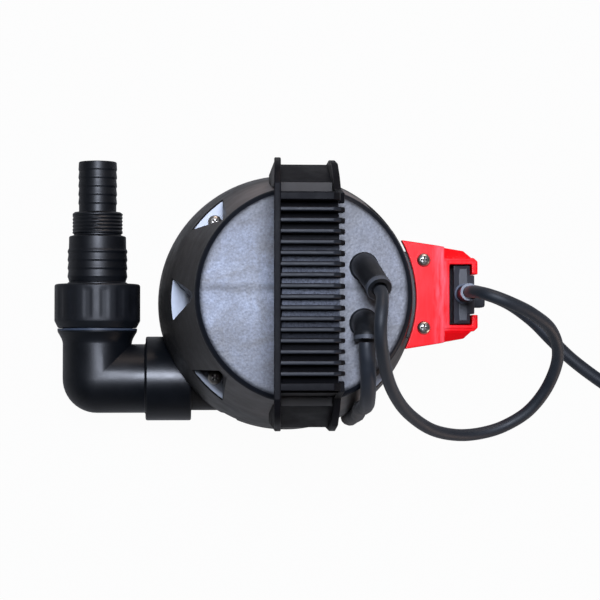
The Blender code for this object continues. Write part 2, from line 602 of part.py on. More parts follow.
def make_plug(end):
    """The lead's last stretch climbs on to the coil, and the moulded two-pin plug lies there."""
    centre = Vector((COIL_CENTRE[0], COIL_CENTRE[1], 0))
    spoke = end - centre
    start = math.atan2(spoke.y, spoke.x)
    reach = Vector((spoke.x, spoke.y)).length
    rest = end.z + POWER_CORD_R + PLUG_R + 0.4
    tail = []
    for i in range(13):
        t = i / 12
        inward = max(0.0, (t - 0.4) / 0.6)
        radius = reach - 22 * inward * inward * (3 - 2 * inward)
        swing = start + math.radians(4 + 56 * t)
        climb = t * t * (3 - 2 * t) * 0.5 + t * 0.5
        tail.append(Vector((centre.x + radius * math.cos(swing), centre.y + radius * math.sin(swing),
                            end.z + (rest - end.z) * climb)))
    flat = Vector((tail[-1].x - tail[-2].x, tail[-1].y - tail[-2].y, 0)).normalized()
    tail.insert(0, end + (tail[0] - end).normalized())
    tail.append(Vector((*(tail[-1] + flat * 10).xy, rest)))
    tube("power_tail", tail, POWER_CORD_R, RUBBER, 2)
    foot = tail[-1] + flat * 0.3
    plug = turned("mains_plug", [
        (0, 58), (PLUG_R - 1, 58), (PLUG_R, 56.5), (PLUG_R, 42), (15, 35), (9.6, 26), (7.6, 18), (6.2, 0),
        (0, 0),
    ], RUBBER, 20, tuple(foot), tuple(flat))
    side = flat.cross(Vector((0, 0, 1)))
    for i, shift in enumerate((-9.5, 9.5)):
        at = foot + side * shift
        cut(plug, rod("pin_hole", 2.7, 49, 62, None, 12, tuple(at), tuple(flat)))
        turned(f"plug_pin_{i + 1}", [
            (0, 77), (1.4, 77), (2.4, 75.6), (2.4, 49.3), (0, 49.3),
        ], STEEL, 12, tuple(at), tuple(flat))
    return tail


make_base()
make_lower_housing()
make_volute()
make_upper_housing()
make_cap()
make_boots()
make_handle()
make_elbow()
make_nut_and_tail()
make_rail()
make_sensor()
make_motor()
make_rotor()
make_cords()
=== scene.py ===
"""The looks of a submersible dirty-water pump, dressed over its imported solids.

Shapes are written in millimetres and made in metres, in the frame of the solids: the pump shaft is the Z axis,
the floor is Z = 0, the outlet is on the left, -X, and the level sensor is on the right, +X.
"""

import math

import bmesh
import bpy
from mathutils import Matrix, Vector


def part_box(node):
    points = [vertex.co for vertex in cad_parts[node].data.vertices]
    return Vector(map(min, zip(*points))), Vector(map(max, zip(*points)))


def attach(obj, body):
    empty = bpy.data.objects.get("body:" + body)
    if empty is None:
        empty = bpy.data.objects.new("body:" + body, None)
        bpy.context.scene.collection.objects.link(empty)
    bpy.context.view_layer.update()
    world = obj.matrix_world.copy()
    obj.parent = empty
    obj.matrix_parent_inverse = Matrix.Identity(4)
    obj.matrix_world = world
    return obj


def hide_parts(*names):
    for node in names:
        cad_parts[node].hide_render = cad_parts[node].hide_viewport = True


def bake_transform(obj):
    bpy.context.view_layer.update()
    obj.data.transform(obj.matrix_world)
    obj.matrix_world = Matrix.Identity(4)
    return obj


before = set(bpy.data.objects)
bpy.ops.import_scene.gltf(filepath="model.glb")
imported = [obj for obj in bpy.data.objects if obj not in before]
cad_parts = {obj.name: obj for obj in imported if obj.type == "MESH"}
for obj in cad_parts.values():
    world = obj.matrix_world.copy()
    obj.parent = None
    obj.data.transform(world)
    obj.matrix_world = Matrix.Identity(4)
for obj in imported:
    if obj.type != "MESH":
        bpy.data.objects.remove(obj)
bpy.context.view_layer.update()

scene = bpy.context.scene
scene.view_settings.view_transform = "Standard"


# Camera
# The photograph looks straight down from 1.36 m, over the inner side of the elbow, through a long lens.
eye = Vector((-0.0783, -0.0339, 1.360))
gaze = Vector((0.0687, 0.0280, -1.0)).normalized()
across = gaze.cross(Vector((0, 1, 0))).normalized()
upward = across.cross(gaze)
camera = bpy.data.objects.new("camera", bpy.data.cameras.new("camera"))
camera.data.lens = 117.5
camera.data.sensor_width = 36.0
camera.matrix_world = Matrix.Translation(eye) @ Matrix((across, upward, -gaze)).transposed().to_4x4()
scene.collection.objects.link(camera)
scene.camera = camera


# Floor, room and lamps
# A white sheet on the floor, a pale room that darkens overhead, and one large soft box beyond the camera's top
# right corner. A small warm lamp stands low on the right, where a wooden bench throws light back.
def linear(hex_colour):
    """An sRGB hex colour as the linear values that shaders and lamps take."""
    parts = [int(hex_colour[i:i + 2], 16) / 255 for i in (1, 3, 5)]
    return tuple(c / 12.92 if c <= 0.04045 else ((c + 0.055) / 1.055) ** 2.4 for c in parts) + (1.0,)


def put(tree, kind, settings=None, links=None):
    """Adds one node. Settings name its properties or free inputs, and links the sockets that feed its inputs."""
    made = tree.nodes.new(kind)
    for name, value in (settings or {}).items():
        if isinstance(name, str) and name.islower() and hasattr(made, name):
            setattr(made, name, value)
        else:
            made.inputs[name].default_value = value
    for name, socket in (links or {}).items():
        tree.links.new(socket, made.inputs[name])
    return made


white_sheet = bpy.data.materials.new("white_sheet")
white_sheet.use_nodes = True
tree = white_sheet.node_tree
tree.nodes.clear()
rays = put(tree, "ShaderNodeLightPath")
thrown_back = put(tree, "ShaderNodeMath", {"operation": "MAXIMUM"},
                  {0: rays.outputs["Is Glossy Ray"], 1: rays.outputs["Is Transmission Ray"]})
thrown_back = put(tree, "ShaderNodeMath", {"operation": "MULTIPLY", 1: 0.12}, {0: thrown_back.outputs[0]})
share = put(tree, "ShaderNodeMath", {"operation": "MULTIPLY_ADD", 1: 0.97},
            {0: rays.outputs["Is Camera Ray"], 2: thrown_back.outputs[0]})
paper = put(tree, "ShaderNodeBsdfDiffuse", {"Color": linear("#909090")})
glow = put(tree, "ShaderNodeEmission", {"Color": linear("#ffffff"), "Strength": 1.0})
mixed = put(tree, "ShaderNodeMixShader", None,
            {0: share.outputs[0], 1: paper.outputs[0], 2: glow.outputs[0]})
put(tree, "ShaderNodeOutputMaterial", None, {"Surface": mixed.outputs[0]})

FLOOR_HALF = 4.0
shape = bmesh.new()
bmesh.ops.create_grid(shape, x_segments=1, y_segments=1, size=FLOOR_HALF)
bmesh.ops.translate(shape, verts=shape.verts, vec=(0, 0, -0.0003))
floor_mesh = bpy.data.meshes.new("floor")
shape.to_mesh(floor_mesh)
shape.free()
floor_mesh.materials.append(white_sheet)
floor = bpy.data.objects.new("floor", floor_mesh)
scene.collection.objects.link(floor)

room = bpy.data.worlds.new("room")
scene.world = room
room.use_nodes = True
tree = room.node_tree
facing = put(tree, "ShaderNodeSeparateXYZ", None, {0: put(tree, "ShaderNodeTexCoord").outputs["Generated"]})
height = put(tree, "ShaderNodeMapRange", {"From Min": 0.0, "From Max": 0.8}, {"Value": facing.outputs["Z"]})
tone = put(tree, "ShaderNodeMix", {"data_type": "RGBA", 6: linear("#eef0f4"), 7: linear("#4a4d55")},
           {0: height.outputs[0]})
sky = tree.nodes["Background"]
tree.links.new(tone.outputs[2], sky.inputs["Color"])
sky.inputs["Strength"].default_value = 0.18
rays = put(tree, "ShaderNodeLightPath")
far_sheet = put(tree, "ShaderNodeBackground", {"Color": linear("#fdfdfd"), "Strength": 1.0})
seen = put(tree, "ShaderNodeMixShader", None,
           {0: rays.outputs["Is Camera Ray"], 1: sky.outputs[0], 2: far_sheet.outputs[0]})
tree.links.new(seen.outputs[0], tree.nodes["World Output"].inputs["Surface"])


def lamp(name, at, size, watts, colour):
    """A soft box that points at the middle of the pump."""
    light = bpy.data.lights.new(name, "AREA")
    light.shape = "RECTANGLE"
    light.size, light.size_y = size
    light.energy = watts
    light.color = linear(colour)[:3]
    holder = bpy.data.objects.new(name, light)
    holder.location = at
    aim = Vector((0, 0, 0.15)) - Vector(at)
    holder.rotation_euler = aim.to_track_quat("-Z", "Y").to_euler()
    holder.visible_camera = False
    scene.collection.objects.link(holder)


lamp("soft_box", (-0.05, 0.28, 1.98), (0.42, 0.42), 46.5, "#e4ecff")
lamp("bench_bounce", (1.1, -0.75, 0.35), (0.6, 0.4), 5.0, "#ffe2d2")
lamp("far_fill", (0.4, 1.5, 0.8), (0.8, 0.6), 10.0, "#ffeadf")


# Intake foot
# A moulding of glass-filled polypropylene: a closed floor plate, a wall with twelve windows that keeps stones out, and
# a top plate with the suction eye. Four bosses take the screws that hold it to the casing.
MM = 0.001


def own(name, shape, matrix=None):
    """Makes an object of a finished shape, with its place in its mesh."""
    bmesh.ops.remove_doubles(shape, verts=shape.verts, dist=1e-7)
    bmesh.ops.dissolve_degenerate(shape, edges=shape.edges, dist=1e-7)
    bmesh.ops.recalc_face_normals(shape, faces=shape.faces)
    mesh = bpy.data.meshes.new(name)
    if matrix is not None:
        shape.transform(matrix)
    shape.to_mesh(mesh)
    shape.free()
    piece = bpy.data.objects.new(name, mesh)
    scene.collection.objects.link(piece)
    return piece


def loft(name, rings, closed=False, capped=False):
    """A skin over rings of points in millimetres. It closes on itself, or has a flat cap at each end."""
    shape = bmesh.new()
    rows = [[shape.verts.new(Vector(p) * MM) for p in ring] for ring in rings]
    pairs = list(zip(rows, rows[1:])) + ([(rows[-1], rows[0])] if closed else [])
    for low, high in pairs:
        for i in range(len(low)):
            j = (i + 1) % len(low)
            shape.faces.new((low[i], low[j], high[j], high[i]))
    if capped:
        shape.faces.new(list(reversed(rows[0])))
        shape.faces.new(rows[-1])
    return own(name, shape)


def lathe(name, profile, sides=96, at=(0, 0, 0), along=(0, 0, 1), relief=None):
    """Turns (radius, height) points about an axis: a ring, or solid where the points start and end on the axis."""
    lean = Vector((0, 0, 1)).rotation_difference(Vector(along)).to_matrix()
    rings = []
    for radius, height in profile:
        ring = []
        for i in range(sides):
            swing = 2 * math.pi * i / sides
            reach = radius + (relief(swing, height, radius) if relief and radius else 0)
            ring.append(Vector(at) + lean @ Vector((reach * math.cos(swing), reach * math.sin(swing), height)))
        rings.append(ring)
    return loft(name, rings, closed=profile[0][0] > 0)


def slab(name, outline, low, high, facing="Z"):
    """A flat outline given thickness between two places along the axis that it faces."""
    order = {"Z": (0, 1, 2), "X": (2, 0, 1), "Y": (0, 2, 1)}[facing]
    rings = []
    for level in (low, high):
        rings.append([[(u, v, level)[i] for i in order] for u, v in outline])
    return loft(name, rings, capped=True)


def rounded(outline, radius, steps=4):
    """An outline with each corner turned into an arc."""
    made = []
    spots = [Vector(p) for p in outline]
    for i, spot in enumerate(spots):
        before, after = spots[i - 1] - spot, spots[(i + 1) % len(spots)] - spot
        cut = min(radius, 0.45 * before.length, 0.45 * after.length)
        first, last = spot + before.normalized() * cut, spot + after.normalized() * cut
        for k in range(steps + 1):
            t = k / steps
            made.append(tuple(first * (1 - t) ** 2 + spot * (2 * t * (1 - t)) + last * t ** 2))
    return made


def plain_mesh(piece):
    """Turns a piece's modifiers into plain mesh."""
    bpy.context.view_layer.update()
    graph = bpy.context.evaluated_depsgraph_get()
    mesh = bpy.data.meshes.new_from_object(piece.evaluated_get(graph))
    piece.modifiers.clear()
    old = piece.data
    piece.data = mesh
    bpy.data.meshes.remove(old)
    return mesh


def settle(piece, crease=32):
    """Makes a piece plain mesh that is shaded smooth up to sharp creases."""
    mesh = plain_mesh(piece)
    mesh.shade_smooth()
    mesh.set_sharp_from_angle(angle=math.radians(crease))
    return piece


def soften(piece, width, steps=2, crease=30):
    """Rounds a piece's edges, as a mould does."""
    edge = piece.modifiers.new("rounded_edges", "BEVEL")
    edge.width = width * MM
    edge.segments = steps
    edge.limit_method = "ANGLE"
    edge.angle_limit = math.radians(crease)
    edge.harden_normals = False
    return settle(piece)


def carve(piece, operation, *tools, finish="INDEX"):
    """Joins pieces to one, or cuts them out of it. With finish TRANSFER, a cut keeps the finish of its tool."""
    for tool in tools:
        step = piece.modifiers.new(tool.name, "BOOLEAN")
        step.operation = operation
        step.material_mode = finish
        step.solver = "EXACT"
        step.object = tool
    settle(piece)
    for tool in tools:
        mesh = tool.data
        bpy.data.objects.remove(tool, do_unlink=True)
        bpy.data.meshes.remove(mesh)
    return piece


def round_tree():
    """Geometry nodes that set copies of a piece round the Z axis, each turned to face outwards."""
    group = bpy.data.node_groups.new("set_round_the_shaft", "GeometryNodeTree")
    face = group.interface
    face.new_socket("Piece", in_out="INPUT", socket_type="NodeSocketGeometry")
    face.new_socket("Count", in_out="INPUT", socket_type="NodeSocketInt")
    face.new_socket("Radius", in_out="INPUT", socket_type="NodeSocketFloat")
    face.new_socket("Start", in_out="INPUT", socket_type="NodeSocketFloat")
    face.new_socket("Finish", in_out="INPUT", socket_type="NodeSocketMaterial")
    face.new_socket("Pieces", in_out="OUTPUT", socket_type="NodeSocketGeometry")
    given = put(group, "NodeGroupInput")
    share = put(group, "ShaderNodeMath", {"operation": "DIVIDE", 0: 2 * math.pi}, {1: given.outputs["Count"]})
    swing = put(group, "ShaderNodeMath", {"operation": "MULTIPLY_ADD"},
                {0: put(group, "GeometryNodeInputIndex").outputs[0], 1: share.outputs[0], 2: given.outputs["Start"]})
    facing = put(group, "ShaderNodeCombineXYZ", None, {"Z": swing.outputs[0]})
    outward = put(group, "ShaderNodeCombineXYZ", None,
                  {"X": put(group, "ShaderNodeMath", {"operation": "COSINE"}, {0: swing.outputs[0]}).outputs[0],
                   "Y": put(group, "ShaderNodeMath", {"operation": "SINE"}, {0: swing.outputs[0]}).outputs[0]})
    spots = put(group, "ShaderNodeVectorMath", {"operation": "SCALE"},
                {0: outward.outputs[0], "Scale": given.outputs["Radius"]})
    places = put(group, "GeometryNodePoints", None, {"Count": given.outputs["Count"], "Position": spots.outputs[0]})
    copies = put(group, "GeometryNodeInstanceOnPoints", None,
                 {"Points": places.outputs[0], "Instance": given.outputs["Piece"], "Rotation": facing.outputs[0]})
    solid = put(group, "GeometryNodeRealizeInstances", None, {"Geometry": copies.outputs[0]})
    bare = put(group, "FunctionNodeCompare", {"data_type": "INT", "operation": "EQUAL"},
               {2: put(group, "GeometryNodeInputMaterialIndex").outputs[0]})
    dressed = put(group, "GeometryNodeSetMaterial", None,
                  {"Geometry": solid.outputs[0], "Selection": bare.outputs[0], "Material": given.outputs["Finish"]})
    put(group, "NodeGroupOutput", None, {"Pieces": dressed.outputs[0]})
    return group


def repeat(piece, group, **sizes):
    """Runs a piece through geometry nodes that repeat it, and keeps the result as plain mesh."""
    step = piece.modifiers.new("repeat", "NODES")
    step.node_group = group
    for item in group.interface.items_tree:
        if item.in_out == "INPUT" and item.name in sizes:
            step[item.identifier] = sizes[item.name]
    return settle(piece)


def moulded(name, dark, light, gloss, grain_mm, relief_mm, cloud_mm=14.0, shine=0.5):
    """A moulded plastic: slightly cloudy colour, uneven gloss and the fine grain of the mould's steel."""
    material = bpy.data.materials.new(name)
    material.use_nodes = True
    tree = material.node_tree
    shader = tree.nodes["Principled BSDF"]
    shader.inputs["IOR"].default_value = 1.5
    shader.inputs["Specular IOR Level"].default_value = shine
    place = put(tree, "ShaderNodeTexCoord").outputs["Object"]
    clouds = put(tree, "ShaderNodeTexNoise", {"Scale": 1000 / cloud_mm, "Detail": 5.0, "Roughness": 0.6},
                 {"Vector": place})
    grain = put(tree, "ShaderNodeTexNoise", {"Scale": 1000 / grain_mm, "Detail": 2.0}, {"Vector": place})
    tint = put(tree, "ShaderNodeMix", {"data_type": "RGBA", 6: linear(dark), 7: linear(light)},
               {0: clouds.outputs["Fac"]})
    rough = put(tree, "ShaderNodeMapRange",
                {"From Min": 0.3, "From Max": 0.7, "To Min": gloss[0], "To Max": gloss[1]},
                {"Value": clouds.outputs["Fac"]})
    skin = put(tree, "ShaderNodeBump", {"Strength": 1.0, "Distance": relief_mm * MM}, {"Height": grain.outputs["Fac"]})
    tree.links.new(tint.outputs[2], shader.inputs["Base Color"])
    tree.links.new(rough.outputs[0], shader.inputs["Roughness"])
    tree.links.new(skin.outputs[0], shader.inputs["Normal"])
    return material


def dress(piece, material, body, slot, *nodes):
    """Gives a piece its finish, the body that it moves with and the solids that it stands for."""
    if material is not None:
        piece.data.materials.clear()
        piece.data.materials.append(material)
    if piece.type == "MESH":
        level = piece.modifiers.new("broad_faces_flat", "WEIGHTED_NORMAL")
        level.keep_sharp = True
        plain_mesh(piece)
    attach(piece, body)
    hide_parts(*nodes)
    return piece


# Glass-filled polypropylene off a fine mould: black-brown, satin, a little dusty in the light
casing_black = moulded("casing_polypropylene", "#0f0e0e", "#181716", (0.36, 0.5), 1.1, 0.03, shine=0.25)

foot_low, foot_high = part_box("intake_base")
FOOT_TOP = foot_high.z / MM
FOOT_REACH = 79.7
FOOT_STEP = 76.5
SUCTION_EYE = 24.0
set_round = round_tree()
foot = lathe("intake_foot", [
    (0, 4), (73.5, 4), (75.2, 23), (SUCTION_EYE, 23), (SUCTION_EYE, FOOT_TOP), (FOOT_REACH - 1, FOOT_TOP),
    (FOOT_REACH, FOOT_TOP - 1), (FOOT_REACH, 23), (FOOT_STEP + 1.5, 3), (FOOT_STEP + 0.6, 0.8), (FOOT_STEP - 0.8, 0),
    (0, 0),
])
window = slab("window", rounded([(-12, 6), (12, 6), (12, 20), (-12, 20)], 2.5), 66, 90, "X")
windows = repeat(window, set_round, Count=12, Radius=0.0, Start=0.0, Finish=casing_black)
boss = lathe("boss", [(0, 24), (6.8, 24), (6.8, 3), (0, 3)], 32)
SCREW_SQUARE = math.radians(45)
bosses = repeat(boss, set_round, Count=4, Radius=57 * MM, Start=SCREW_SQUARE, Finish=casing_black)
seat = lathe("seat", [(0, 40), (2.3, 40), (2.3, 4), (4.8, 4), (4.8, -1), (0, -1)], 32)
seats = repeat(seat, set_round, Count=4, Radius=57 * MM, Start=SCREW_SQUARE, Finish=casing_black)
carve(foot, "UNION", bosses)
carve(foot, "DIFFERENCE", windows, seats)
dress(foot, casing_black, "pump", "black_plastic", "intake_base")


# Screws
# Pan-head tapping screws of zinc-plated steel with a cross recess: four under the foot, four in the pockets of the
# motor shell, two through the legs of the handle and two in the red rail.
# Zinc plate on steel: bright and slightly warm, with a fine drawn grain and grey bloom
zinc_plate = bpy.data.materials.new("zinc_plated_steel")
zinc_plate.use_nodes = True
tree = zinc_plate.node_tree
metal = tree.nodes["Principled BSDF"]
metal.inputs["Metallic"].default_value = 1.0
place = put(tree, "ShaderNodeTexCoord").outputs["Object"]
bloom = put(tree, "ShaderNodeTexNoise", {"Scale": 1000 / 1.6, "Detail": 3.0}, {"Vector": place})
tint = put(tree, "ShaderNodeMix", {"data_type": "RGBA", 6: linear("#8f8a82"), 7: linear("#d8d4cc")},
           {0: bloom.outputs["Fac"]})
rough = put(tree, "ShaderNodeMapRange", {"To Min": 0.22, "To Max": 0.45}, {"Value": bloom.outputs["Fac"]})
tree.links.new(tint.outputs[2], metal.inputs["Base Color"])
tree.links.new(rough.outputs[0], metal.inputs["Roughness"])

# Dirt and painted shade in the cross: brown-black and dull
recess_dirt_and_shade = moulded("recess_dirt_and_shade", "#5a544e", "#7a736b", (0.55, 0.75), 0.8, 0.01, 3.0, 0.2)


def screw(name, length, head_r=4.2, head_h=2.8):
    """One screw that stands on its shank, with its cross cut in the head."""
    body = lathe(name, [
        (0, head_h), (head_r * 0.35, head_h - 0.05), (head_r * 0.72, head_h * 0.86), (head_r * 0.93, head_h * 0.58),
        (head_r, head_h * 0.25), (head_r, 0), (2.0, 0), (2.0, -length + 2), (0.5, -length), (0, -length),
    ], 40)
    body.data.materials.append(zinc_plate)
    arm = head_r * 0.56
    for wide in (True, False):
        half = (arm, 0.62) if wide else (0.62, arm)
        rings = []
        for level, share in ((head_h + 0.2, 1.0), (head_h * 0.2, 0.55)):
            x, y = half[0] * (share if wide else 1), half[1] * (1 if wide else share)
            rings.append([(-x, -y, level), (x, -y, level), (x, y, level), (-x, y, level)])
        cutter = loft("cross_arm", rings, capped=True)
        # The cross's faces take the dirt and painted shade of the recess
        cutter.data.materials.append(recess_dirt_and_shade)
        carve(body, "DIFFERENCE", cutter, finish="TRANSFER")
    return body


foot_screws = repeat(screw("foot_screws", 32), set_round, Count=4, Radius=57 * MM, Start=SCREW_SQUARE, Finish=zinc_plate)
upside_down = Matrix.Translation((0, 0, 3.7 * MM)) @ Matrix.Rotation(math.pi, 4, "X")
foot_screws.data.transform(upside_down)
dress(foot_screws, None, "pump", "steel", "base_screw_1", "base_screw_2", "base_screw_3", "base_screw_4")

POCKET_SCREW_R = 67.9
LEDGE_Z = 150.0
pocket_screws = repeat(screw("pocket_screws", 10, 4.3), set_round, Count=4, Radius=POCKET_SCREW_R * MM,
                       Start=SCREW_SQUARE, Finish=zinc_plate)
pocket_screws.data.transform(Matrix.Translation((0, 0, (LEDGE_Z + 0.3) * MM)))
dress(pocket_screws, None, "pump", "steel",
      "housing_screw_1", "housing_screw_2", "housing_screw_3", "housing_screw_4")

HANDLE_SCREW_Z = 212.0
leg_screw = screw("leg_screws", 10)
leg_screw.data.transform(Matrix.Rotation(math.pi / 2, 4, "Y"))
leg_screws = repeat(leg_screw, set_round, Count=2, Radius=72.1 * MM, Start=math.pi / 2, Finish=zinc_plate)
leg_screws.data.transform(Matrix.Translation((0, 0, HANDLE_SCREW_Z * MM)))
dress(leg_screws, None, "pump", "steel", "handle_screw_1", "handle_screw_2")


# Lower housing
# The pump casing, in the same plastic: a belly that draws in to a polished ledge, the pump chamber inside, and the
# outlet stub that leaves it sideways in a recess for the elbow's socket.
BELLY_R, BELLY_Z = 83.2, 60.0
LEDGE_R = 75.7
SHELL_BORE = 58.4
OUTLET_Y, OUTLET_Z = -49.6, 60.0
WATERWAY_R = 16.5
outlet = (0, OUTLET_Y, OUTLET_Z)
leftward = (-1, 0, 0)
belly = []
for i in range(13):
    t = i / 12
    belly.append((LEDGE_R + (BELLY_R - LEDGE_R) * math.sin(t * math.pi / 2) ** 0.9, LEDGE_Z - 1 - (LEDGE_Z - 1 - BELLY_Z) * t))
casing = lathe("pump_casing", [
    (0, 95), (SHELL_BORE, 95), (SHELL_BORE, 147), (61.3, 147), (61.3, LEDGE_Z), (LEDGE_R - 1, LEDGE_Z),
] + belly + [
    (82.4, 36), (80.6, 28), (80, 27.3), (76, 27.3), (78.2, 36), (79.2, BELLY_Z), (75.6, 105), (72, 145.5), (62, 145.5),
    (62, 27.3), (0, 27.3),
], 144)
block = lathe("outlet_block", [
    (0, 148), (74.9, 148), (78.4, 105), (BELLY_R - 0.6, BELLY_Z), (81.6, 36), (79.6, 29), (0, 29),
], 144)
carve(block, "INTERSECT", lathe("outlet_core", [(0, 80), (34.5, 80), (34.5, -15), (0, -15)], 64, outlet, leftward))
carve(casing, "UNION", block)
chamber = lathe("chamber", [(0, 97), (52, 97), (52, 20), (0, 20)], 96)
recess = lathe("recess", [(0, 120), (30.6, 120), (30.6, 60.8), (0, 60.8)], 96, outlet, leftward)
notch = slab("notch", [(-66, -100), (-31, -100), (-31, -71.6), (-66, -71.6)], 29.4, 90.6)
carve(casing, "DIFFERENCE", chamber, recess, notch)
stub = lathe("stub", [(0, 91), (20.4, 91), (21, 90.4), (21, 44), (0, 44)], 64, outlet, leftward)
carve(casing, "UNION", stub)
waterway = lathe("waterway", [(0, 120), (WATERWAY_R, 120), (WATERWAY_R, 4), (0, 4)], 64, outlet, leftward)
pilot = lathe("pilot", [(0, 152), (2.3, 152), (2.3, 138), (0, 138)], 24)
pilots = repeat(pilot, set_round, Count=4, Radius=POCKET_SCREW_R * MM, Start=SCREW_SQUARE, Finish=casing_black)
foot_pilot = lathe("foot_pilot", [(0, 39), (2.3, 39), (2.3, 20), (0, 20)], 24)
foot_pilots = repeat(foot_pilot, set_round, Count=4, Radius=57 * MM, Start=SCREW_SQUARE, Finish=casing_black)
carve(casing, "DIFFERENCE", waterway, pilots, foot_pilots)


def mend(piece):
    """Closes the hairline slits that cuts can leave between faces."""
    shape = bmesh.new()
    shape.from_mesh(piece.data)
    bmesh.ops.remove_doubles(shape, verts=shape.verts, dist=0.002 * MM)
    bmesh.ops.dissolve_degenerate(shape, edges=shape.edges, dist=0.001 * MM)
    slits = [edge for edge in shape.edges if edge.is_boundary]
    bmesh.ops.holes_fill(shape, edges=slits, sides=0)
    shape.to_mesh(piece.data)
    shape.free()
    return settle(piece)


dress(mend(casing), casing_black, "pump", "black_plastic", "lower_housing", "volute_casing")

# The ledge is painted a pale satin grey for the light that it reflects. Painted shade lies in its inner corner and a
# painted shadow round one screw.
ledge_painted_reflection = moulded("ledge_painted_reflection_polypropylene", "#98a0ad", "#c5cdd9", (0.34, 0.48), 6.0, 0.02, 9.0, 0.3)
tree = ledge_painted_reflection.node_tree
shader = tree.nodes["Principled BSDF"]
place = put(tree, "ShaderNodeTexCoord").outputs["Object"]
from_shaft = put(tree, "ShaderNodeVectorMath", {"operation": "DISTANCE", 1: (0, 0, LEDGE_Z * MM)}, {0: place})
# Painted shade where the ledge runs into the pocket's inner corner
corner_painted_shade = put(tree, "ShaderNodeMapRange", {"From Min": 64.5 * MM, "From Max": 67 * MM, "To Min": 0.9, "To Max": 0.0},
                  {"Value": from_shaft.outputs["Value"]})
# Painted shadow of the pocket's wall round the lower left screw, held back from the outer lip, which stays lit
from_screw = put(tree, "ShaderNodeVectorMath", {"operation": "DISTANCE", 1: (-0.0475, -0.0475, LEDGE_Z * MM)}, {0: place})
screw_painted_shadow = put(tree, "ShaderNodeMapRange", {"From Min": 15 * MM, "From Max": 23 * MM, "To Min": 0.95, "To Max": 0.0},
                 {"Value": from_screw.outputs["Value"]})
inside_lip = put(tree, "ShaderNodeMapRange", {"From Min": 71.5 * MM, "From Max": 73.5 * MM, "To Min": 1.0, "To Max": 0.2},
                 {"Value": from_shaft.outputs["Value"]})
screw_painted_shadow = put(tree, "ShaderNodeMath", {"operation": "MULTIPLY"}, {0: screw_painted_shadow.outputs[0], 1: inside_lip.outputs[0]})
ledge_painted_shade = put(tree, "ShaderNodeMath", {"operation": "MAXIMUM"}, {0: corner_painted_shade.outputs[0], 1: screw_painted_shadow.outputs[0]})
plain = shader.inputs["Base Color"].links[0].from_socket
tint = put(tree, "ShaderNodeMix", {"data_type": "RGBA", 7: linear("#141416")}, {0: ledge_painted_shade.outputs[0], 6: plain})
tree.links.new(tint.outputs[2], shader.inputs["Base Color"])
# The ledge's upward faces take the painted reflection and shade
casing.data.materials.append(ledge_painted_reflection)
for face in casing.data.polygons:
    if face.normal.z > 0.98 and face.center.z > (LEDGE_Z - 0.5) * MM:
        face.material_index = 1


# Motor inside the shell
# Sealed in and never seen: a pressed stack of electrical sheet, varnished copper, ball bearings in cast aluminium,
# a run capacitor in its can, and the ceramic seat of the shaft seal.
def metal_finish(name, dark, light, gloss, streak_mm, stretch=(1, 1, 1)):
    """A bare metal whose brightness and gloss follow streaks of a given size."""
    material = bpy.data.materials.new(name)
    material.use_nodes = True
    tree = material.node_tree
    shader = tree.nodes["Principled BSDF"]
    shader.inputs["Metallic"].default_value = 1.0
    place = put(tree, "ShaderNodeMapping", {"Scale": stretch},
                {"Vector": put(tree, "ShaderNodeTexCoord").outputs["Object"]})
    streaks = put(tree, "ShaderNodeTexNoise", {"Scale": 1000 / streak_mm, "Detail": 4.0}, {"Vector": place.outputs[0]})
    tint = put(tree, "ShaderNodeMix", {"data_type": "RGBA", 6: linear(dark), 7: linear(light)},
               {0: streaks.outputs["Fac"]})
    rough = put(tree, "ShaderNodeMapRange", {"To Min": gloss[0], "To Max": gloss[1]}, {"Value": streaks.outputs["Fac"]})
    tree.links.new(tint.outputs[2], shader.inputs["Base Color"])
    tree.links.new(rough.outputs[0], shader.inputs["Roughness"])
    return material


def finish_nodes(material, *names):
    """Puts a finish on solids that are shown as they are."""
    for name in names:
        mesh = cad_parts[name].data
        mesh.materials.clear()
        mesh.materials.append(material)


# Sheet steel punched and stacked, so the grey runs in thin level lines; drawn copper; sand-cast aluminium; ground steel
electrical_sheet = metal_finish("electrical_sheet", "#4c4e52", "#85878b", (0.35, 0.55), 3.0, (0.1, 0.1, 4.0))
varnished_copper = metal_finish("varnished_copper", "#7a3d1e", "#c8794a", (0.3, 0.5), 1.4, (1, 1, 3.0))
cast_aluminium = metal_finish("cast_aluminium", "#8c8e92", "#b4b6ba", (0.4, 0.6), 2.2)
ground_steel = metal_finish("ground_steel", "#8a8a8c", "#c9c9cb", (0.15, 0.3), 1.0, (0.2, 0.2, 5.0))
finish_nodes(electrical_sheet, "stator_core", "rotor_core")
finish_nodes(varnished_copper, "winding_upper", "winding_lower")
finish_nodes(cast_aluminium, "bearing_carrier", "bearing_bridge", "run_capacitor")
finish_nodes(ground_steel, "lower_bearing", "upper_bearing", "rotor_shaft", "impeller_nut")

# Lapped alumina: ivory white, dense and nearly smooth
alumina = moulded("lapped_alumina", "#d8d2c4", "#ebe6da", (0.18, 0.3), 0.8, 0.005)
finish_nodes(alumina, "seal_seat", "seal_ring")

# Nitrile rubber of the round seals and the union's gasket: soft black with a matt bloom
nitrile = moulded("nitrile_rubber", "#141415", "#242426", (0.55, 0.7), 0.9, 0.02)
finish_nodes(nitrile, "cap_seal", "housing_seal", "union_gasket")

# The impeller is moulded in the casing's plastic, but wears shiny in the water
worn_black = moulded("worn_polyamide", "#18191b", "#2c2d30", (0.25, 0.4), 1.2, 0.02)
finish_nodes(worn_black, "impeller")

# Motor shell
# A steep cone of the casing's plastic that closes over the motor. V pockets let a screwdriver reach the screws on the
# ledge, and a lug on the right carries the rail of the level sensor.
SHELL_TOP, SHELL_TOP_R = 246.0, 62.0
RAIL_Y = 2.0
shell_black = moulded("shell_polypropylene", "#1a1715", "#2a2623", (0.4, 0.52), 1.2, 0.035, shine=0.25)
